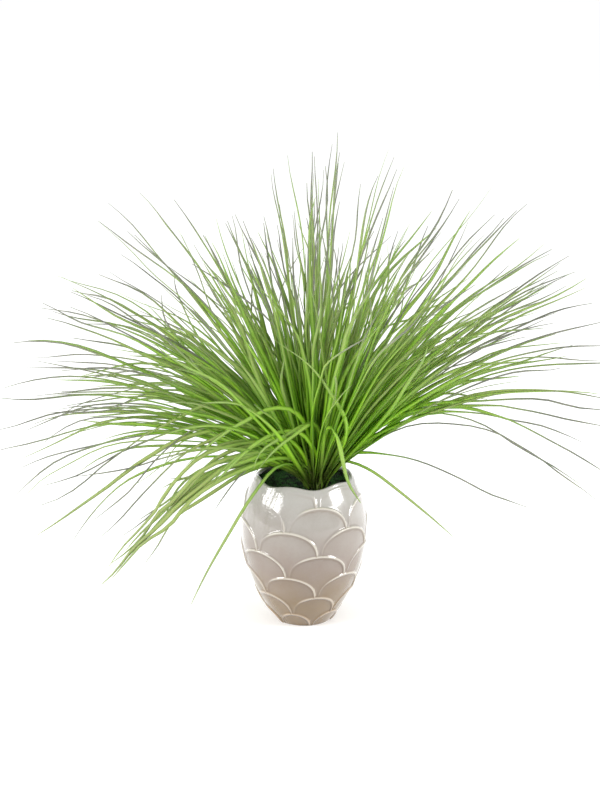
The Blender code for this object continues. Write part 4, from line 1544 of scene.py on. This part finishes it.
def leaf_green(sketch, settings, along, mask):
    """A leaf's own green, duller at its base and darkened there as painted shade of the crown, and paler over its
    outer half, by its tone and its fading.
    """
    tone_share, patch_share = 0.75, 0.35
    fade_start, fade_end = 0.48, 0.95
    start_shift, end_shift = 0.3, 0.35
    base_start, base_end = 0.04, 0.32
    tone, fading = shader_attribute(sketch, "tone"), shader_attribute(sketch, "fading")
    brightness = (tone * tone_share + mask * patch_share).clamped()
    green = sketch.mixed(brightness, settings.deep_colour, settings.bright_colour)
    faded = along.smooth(fade_start - fading * start_shift, fade_end - fading * end_shift) * fading
    outer = sketch.mixed(faded, green, settings.outer_colour)
    # The base's dull colour also carries painted shade, where the leaves crowd in the crown
    return sketch.mixed(along.smooth(base_start, base_end), settings.base_and_shade_colour, outer)


def leaf_material(settings):
    """Satin leaf with veins along it, each in its own green, dull at the base, darkened by painted shade at the base
    and along its edges, greyish at the tip.
    """
    veins_over_half, vein_share, keel_width, keel_share = 22.0, 0.16, 0.22, 0.30
    edge_shade_start, edge_shade_share, bare_base = 0.5, 0.55, 0.3
    material, sketch, shader = new_material("leaf")
    along, across, tip = (shader_attribute(sketch, name) for name in ("along", "across", "tip"))
    mask, _ = mottle(sketch, patch_scale=26.0, grain_scale=700.0, grain_share=0.35)
    grey = sketch.mixed(mask, settings.dark_tip_colour, settings.pale_tip_colour)
    colour = sketch.mixed(tip, leaf_green(sketch, settings, along, mask), grey)
    veins = (across * veins_over_half).cosine() * 0.5 + 0.5
    keel = 1.0 - abs(across).smooth(0.0, keel_width)
    pale = (veins * vein_share + keel * keel_share) * (1.0 - tip) * along.smooth(0.0, bare_base)
    veined = sketch.mixed(pale, colour, VEIN_GREEN)
    # Painted shade: each leaf darkens towards its edges, standing for the shade between neighbouring blades
    margin = abs(across).smooth(edge_shade_start, 1.0) * edge_shade_share * (1.0 - tip)
    finish_shader(sketch, shader, {
        "Base Color": sketch.mixed(margin, veined, settings.deep_colour),
        "Roughness": mask * 0.14 + 0.38,
        "Specular IOR Level": 0.25,
        "Subsurface Weight": 0.25,
        "Subsurface Radius": (0.5, 1.0, 0.15),
        "Subsurface Scale": 1.5 * MM,
        "Normal": bumped(sketch, veins, distance=0.05 * MM, strength=0.6),
    })
    return material


def moss_material(settings):
    """Dark, dull moss with lighter sprigs."""
    patch_start, patch_end = 0.46, 0.60
    tone_share, least_lit = 0.6, 0.5
    material, sketch, shader = new_material("moss")
    mask, relief = mottle(sketch, patch_scale=140.0, grain_scale=1500.0, grain_share=0.4)
    brightness = shader_attribute(sketch, "tone") * tone_share + least_lit
    lit = (mask.smooth(patch_start, patch_end) * brightness).clamped()
    finish_shader(sketch, shader, {
        "Base Color": sketch.mixed(lit, settings.dark_colour, settings.light_colour),
        "Roughness": mask * 0.1 + 0.8,
        "Normal": bumped(sketch, relief, distance=0.5 * MM),
    })
    return material


def soil_material():
    """Dark, crumbly soil."""
    material, sketch, shader = new_material("soil")
    mask, relief = mottle(sketch, patch_scale=220.0, grain_scale=1400.0, grain_share=0.5)
    finish_shader(sketch, shader, {
        "Base Color": sketch.mixed(mask, DARK_SOIL, LIGHT_SOIL),
        "Roughness": mask * 0.1 + 0.85,
        "Normal": bumped(sketch, relief, distance=1.0 * MM),
    })
    return material


def floor_material(settings):
    """Plain pale floor, without gloss and very slightly patchy, that glows a little."""
    darkest = 0.99
    material, sketch, shader = new_material("floor")
    mask, _ = mottle(sketch, patch_scale=2.0, grain_scale=40.0, grain_share=0.2)
    low = tuple(channel * darkest for channel in settings.floor_colour)
    finish_shader(sketch, shader, {
        "Base Color": sketch.mixed(mask, low, settings.floor_colour),
        "Roughness": 0.9,
        "Specular IOR Level": 0.0,
        "Emission Color": WHITE,
        "Emission Strength": settings.floor_glow,
    })
    return material


def make_floor(settings):
    """A square floor under the pot."""
    bm = bmesh.new()
    bmesh.ops.create_grid(bm, x_segments=1, y_segments=1, size=FLOOR_SIZE / 2)
    mesh = ended_mesh("floor", bm)
    mesh.materials.append(floor_material(settings))
    floor = link_object("floor", mesh)
    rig.stage(floor)


def make_lights(scene, settings):
    """An even white sky, and a softbox at each side."""
    world = bpy.data.worlds.new("even light")
    world.use_nodes = True
    scene.world = world
    background = world.node_tree.nodes["Background"]
    plug(world.node_tree, background.inputs["Color"], WHITE)
    plug(world.node_tree, background.inputs["Strength"], settings.sky_strength)
    for name, azimuth, elevation, width, height, share in SOFTBOXES:
        light = bpy.data.lights.new(name, "AREA")
        light.shape = "RECTANGLE"
        light.size = width
        light.size_y = height
        light.energy = settings.key_power * share
        lamp = link_object(name, light)
        a, e = math.radians(azimuth), math.radians(elevation)
        out = Vector((math.sin(a) * math.cos(e), -math.cos(a) * math.cos(e), math.sin(e)))
        lamp.location = Vector((0.0, 0.0, POT_HEIGHT)) + out * SOFTBOX_DISTANCE
        lamp.rotation_euler = out.to_track_quat("Z", "Y").to_euler()


def make_camera(scene, settings):
    """The camera, which sees the plant as the reference picture does."""
    data = bpy.data.cameras.new("camera")
    data.sensor_width = SENSOR
    data.lens = FOCAL_LENGTH * SENSOR / PICTURE_HEIGHT
    data.clip_end = CLIP_END
    camera = link_object("camera", data)
    pitch = settings.camera_pitch
    camera.location = LOOK_AT + Vector((0.0, -math.cos(pitch), math.sin(pitch))) * settings.camera_distance
    camera.rotation_euler = (math.pi / 2 - pitch, 0.0, 0.0)
    scene.camera = camera
    scene.view_settings.view_transform = "Standard"


class ChivesOperator(bpy.types.Operator):
    """What every operator here shares."""

    bl_options = {"REGISTER", "UNDO"}


class CHIVES_OT_stage(ChivesOperator):
    """Make the floor, the lights and the camera"""

    bl_idname = "chives.stage"
    bl_label = "Stage"

    def execute(self, context):
        settings = context.scene.chives_stage
        make_floor(settings)
        make_lights(context.scene, settings)
        make_camera(context.scene, settings)
        return {"FINISHED"}


class CHIVES_OT_pot(ChivesOperator):
    """Make the glazed pot"""

    bl_idname = "chives.pot"
    bl_label = "Glazed Pot"

    def execute(self, context):
        settings = context.scene.chives_pot
        sizes = {size: getattr(settings, size.lower().replace(" ", "_")) for size in POT_SIZES}
        source = link_object("pot source", outline_curve())
        grow(source, pot_tree(), sizes | {"Material": glaze_material(settings)})
        settled(source, "glazed_pot", "glaze", "pot")
        return {"FINISHED"}


class CHIVES_OT_soil(ChivesOperator):
    """Give the soil its finish"""

    bl_idname = "chives.soil"
    bl_label = "Soil"

    def execute(self, context):
        soil = frame["nodes"]["soil"]
        soil.data.materials.clear()
        soil.data.materials.append(soil_material())
        return {"FINISHED"}


class CHIVES_OT_moss(ChivesOperator):
    """Make the bed of moss with its sprigs"""

    bl_idname = "chives.moss"
    bl_label = "Moss"

    def execute(self, context):
        settings = context.scene.chives_moss
        source = link_object("moss source", moss_bed(settings.seed, context.scene.chives_pot.wall))
        grow(source, moss_tree(), {
            "Density": settings.density,
            "Sprig length": settings.sprig_length,
            "Seed": settings.seed,
            "Material": moss_material(settings),
        })
        settled(source, "moss_bed", "moss", "moss")
        return {"FINISHED"}


class CHIVES_OT_leaves(ChivesOperator):
    """Make the leaves of every tuft"""

    bl_idname = "chives.leaves"
    bl_label = "Leaves"

    def execute(self, context):
        settings = context.scene.chives_leaves
        chance = random.Random(settings.seed)
        guard = PotGuard()
        tree = leaf_tree()
        margin = Vector((0.5, 0.5, 0.5)) * settings.width
        values = {
            "Points": settings.points,
            "Width": settings.width,
            "Wave": settings.wave,
            "Lowest corner": CAD_BOX[0] + margin,
            "Highest corner": CAD_BOX[1] - margin,
            "Material": leaf_material(settings),
        }
        for node in LEAF_NODES:
            leaves = node_leaves(node, settings, guard, chance)
            source = link_object(node + " source", lines_mesh(node + " lines", leaves, chance))
            grow(source, tree, values)
            settled(source, "leaves_of_" + node, "leaf", node)
        return {"FINISHED"}


class CHIVES_PT_panel(bpy.types.Panel):
    """Lists the pieces and their settings"""

    bl_idname = "CHIVES_PT_panel"
    bl_label = "Potted Chives"
    bl_space_type = "VIEW_3D"
    bl_region_type = "UI"
    bl_category = "Chives"

    def draw(self, context):
        for operator in ("chives.pot", "chives.soil", "chives.moss", "chives.leaves", "chives.stage"):
            box = self.layout.box()
            settings = getattr(context.scene, operator.replace(".", "_"), None)
            for name in settings.bl_rna.properties.keys() if settings else ():
                if name not in ("rna_type", "name"):
                    box.prop(settings, name)
            box.operator(operator)


SETTINGS = {
    "chives_pot": ChivesPotSettings,
    "chives_leaves": ChivesLeafSettings,
    "chives_moss": ChivesMossSettings,
    "chives_stage": ChivesStageSettings,
}
OPERATORS = (CHIVES_OT_stage, CHIVES_OT_pot, CHIVES_OT_soil, CHIVES_OT_moss, CHIVES_OT_leaves)


def register():
    for settings in SETTINGS.values():
        bpy.utils.register_class(settings)
    for name, settings in SETTINGS.items():
        setattr(bpy.types.Scene, name, PointerProperty(type=settings))
    for shown in (*OPERATORS, CHIVES_PT_panel):
        bpy.utils.register_class(shown)


def unregister():
    for shown in (CHIVES_PT_panel, *reversed(OPERATORS)):
        bpy.utils.unregister_class(shown)
    for name in SETTINGS:
        delattr(bpy.types.Scene, name)
    for settings in SETTINGS.values():
        bpy.utils.unregister_class(settings)


def main():
    register()
    bpy.ops.chives.stage()
    bpy.ops.chives.pot()
    bpy.ops.chives.soil()
    bpy.ops.chives.moss()
    bpy.ops.chives.leaves()
    made_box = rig.bounds()
    sizes = {"cad": [list(corner) for corner in CAD_BOX], "made": [list(corner) for corner in made_box]}
    with open(SIZE_FILE, "w") as file:
        json.dump(sizes, file)


if __name__ == "__main__":
    main()
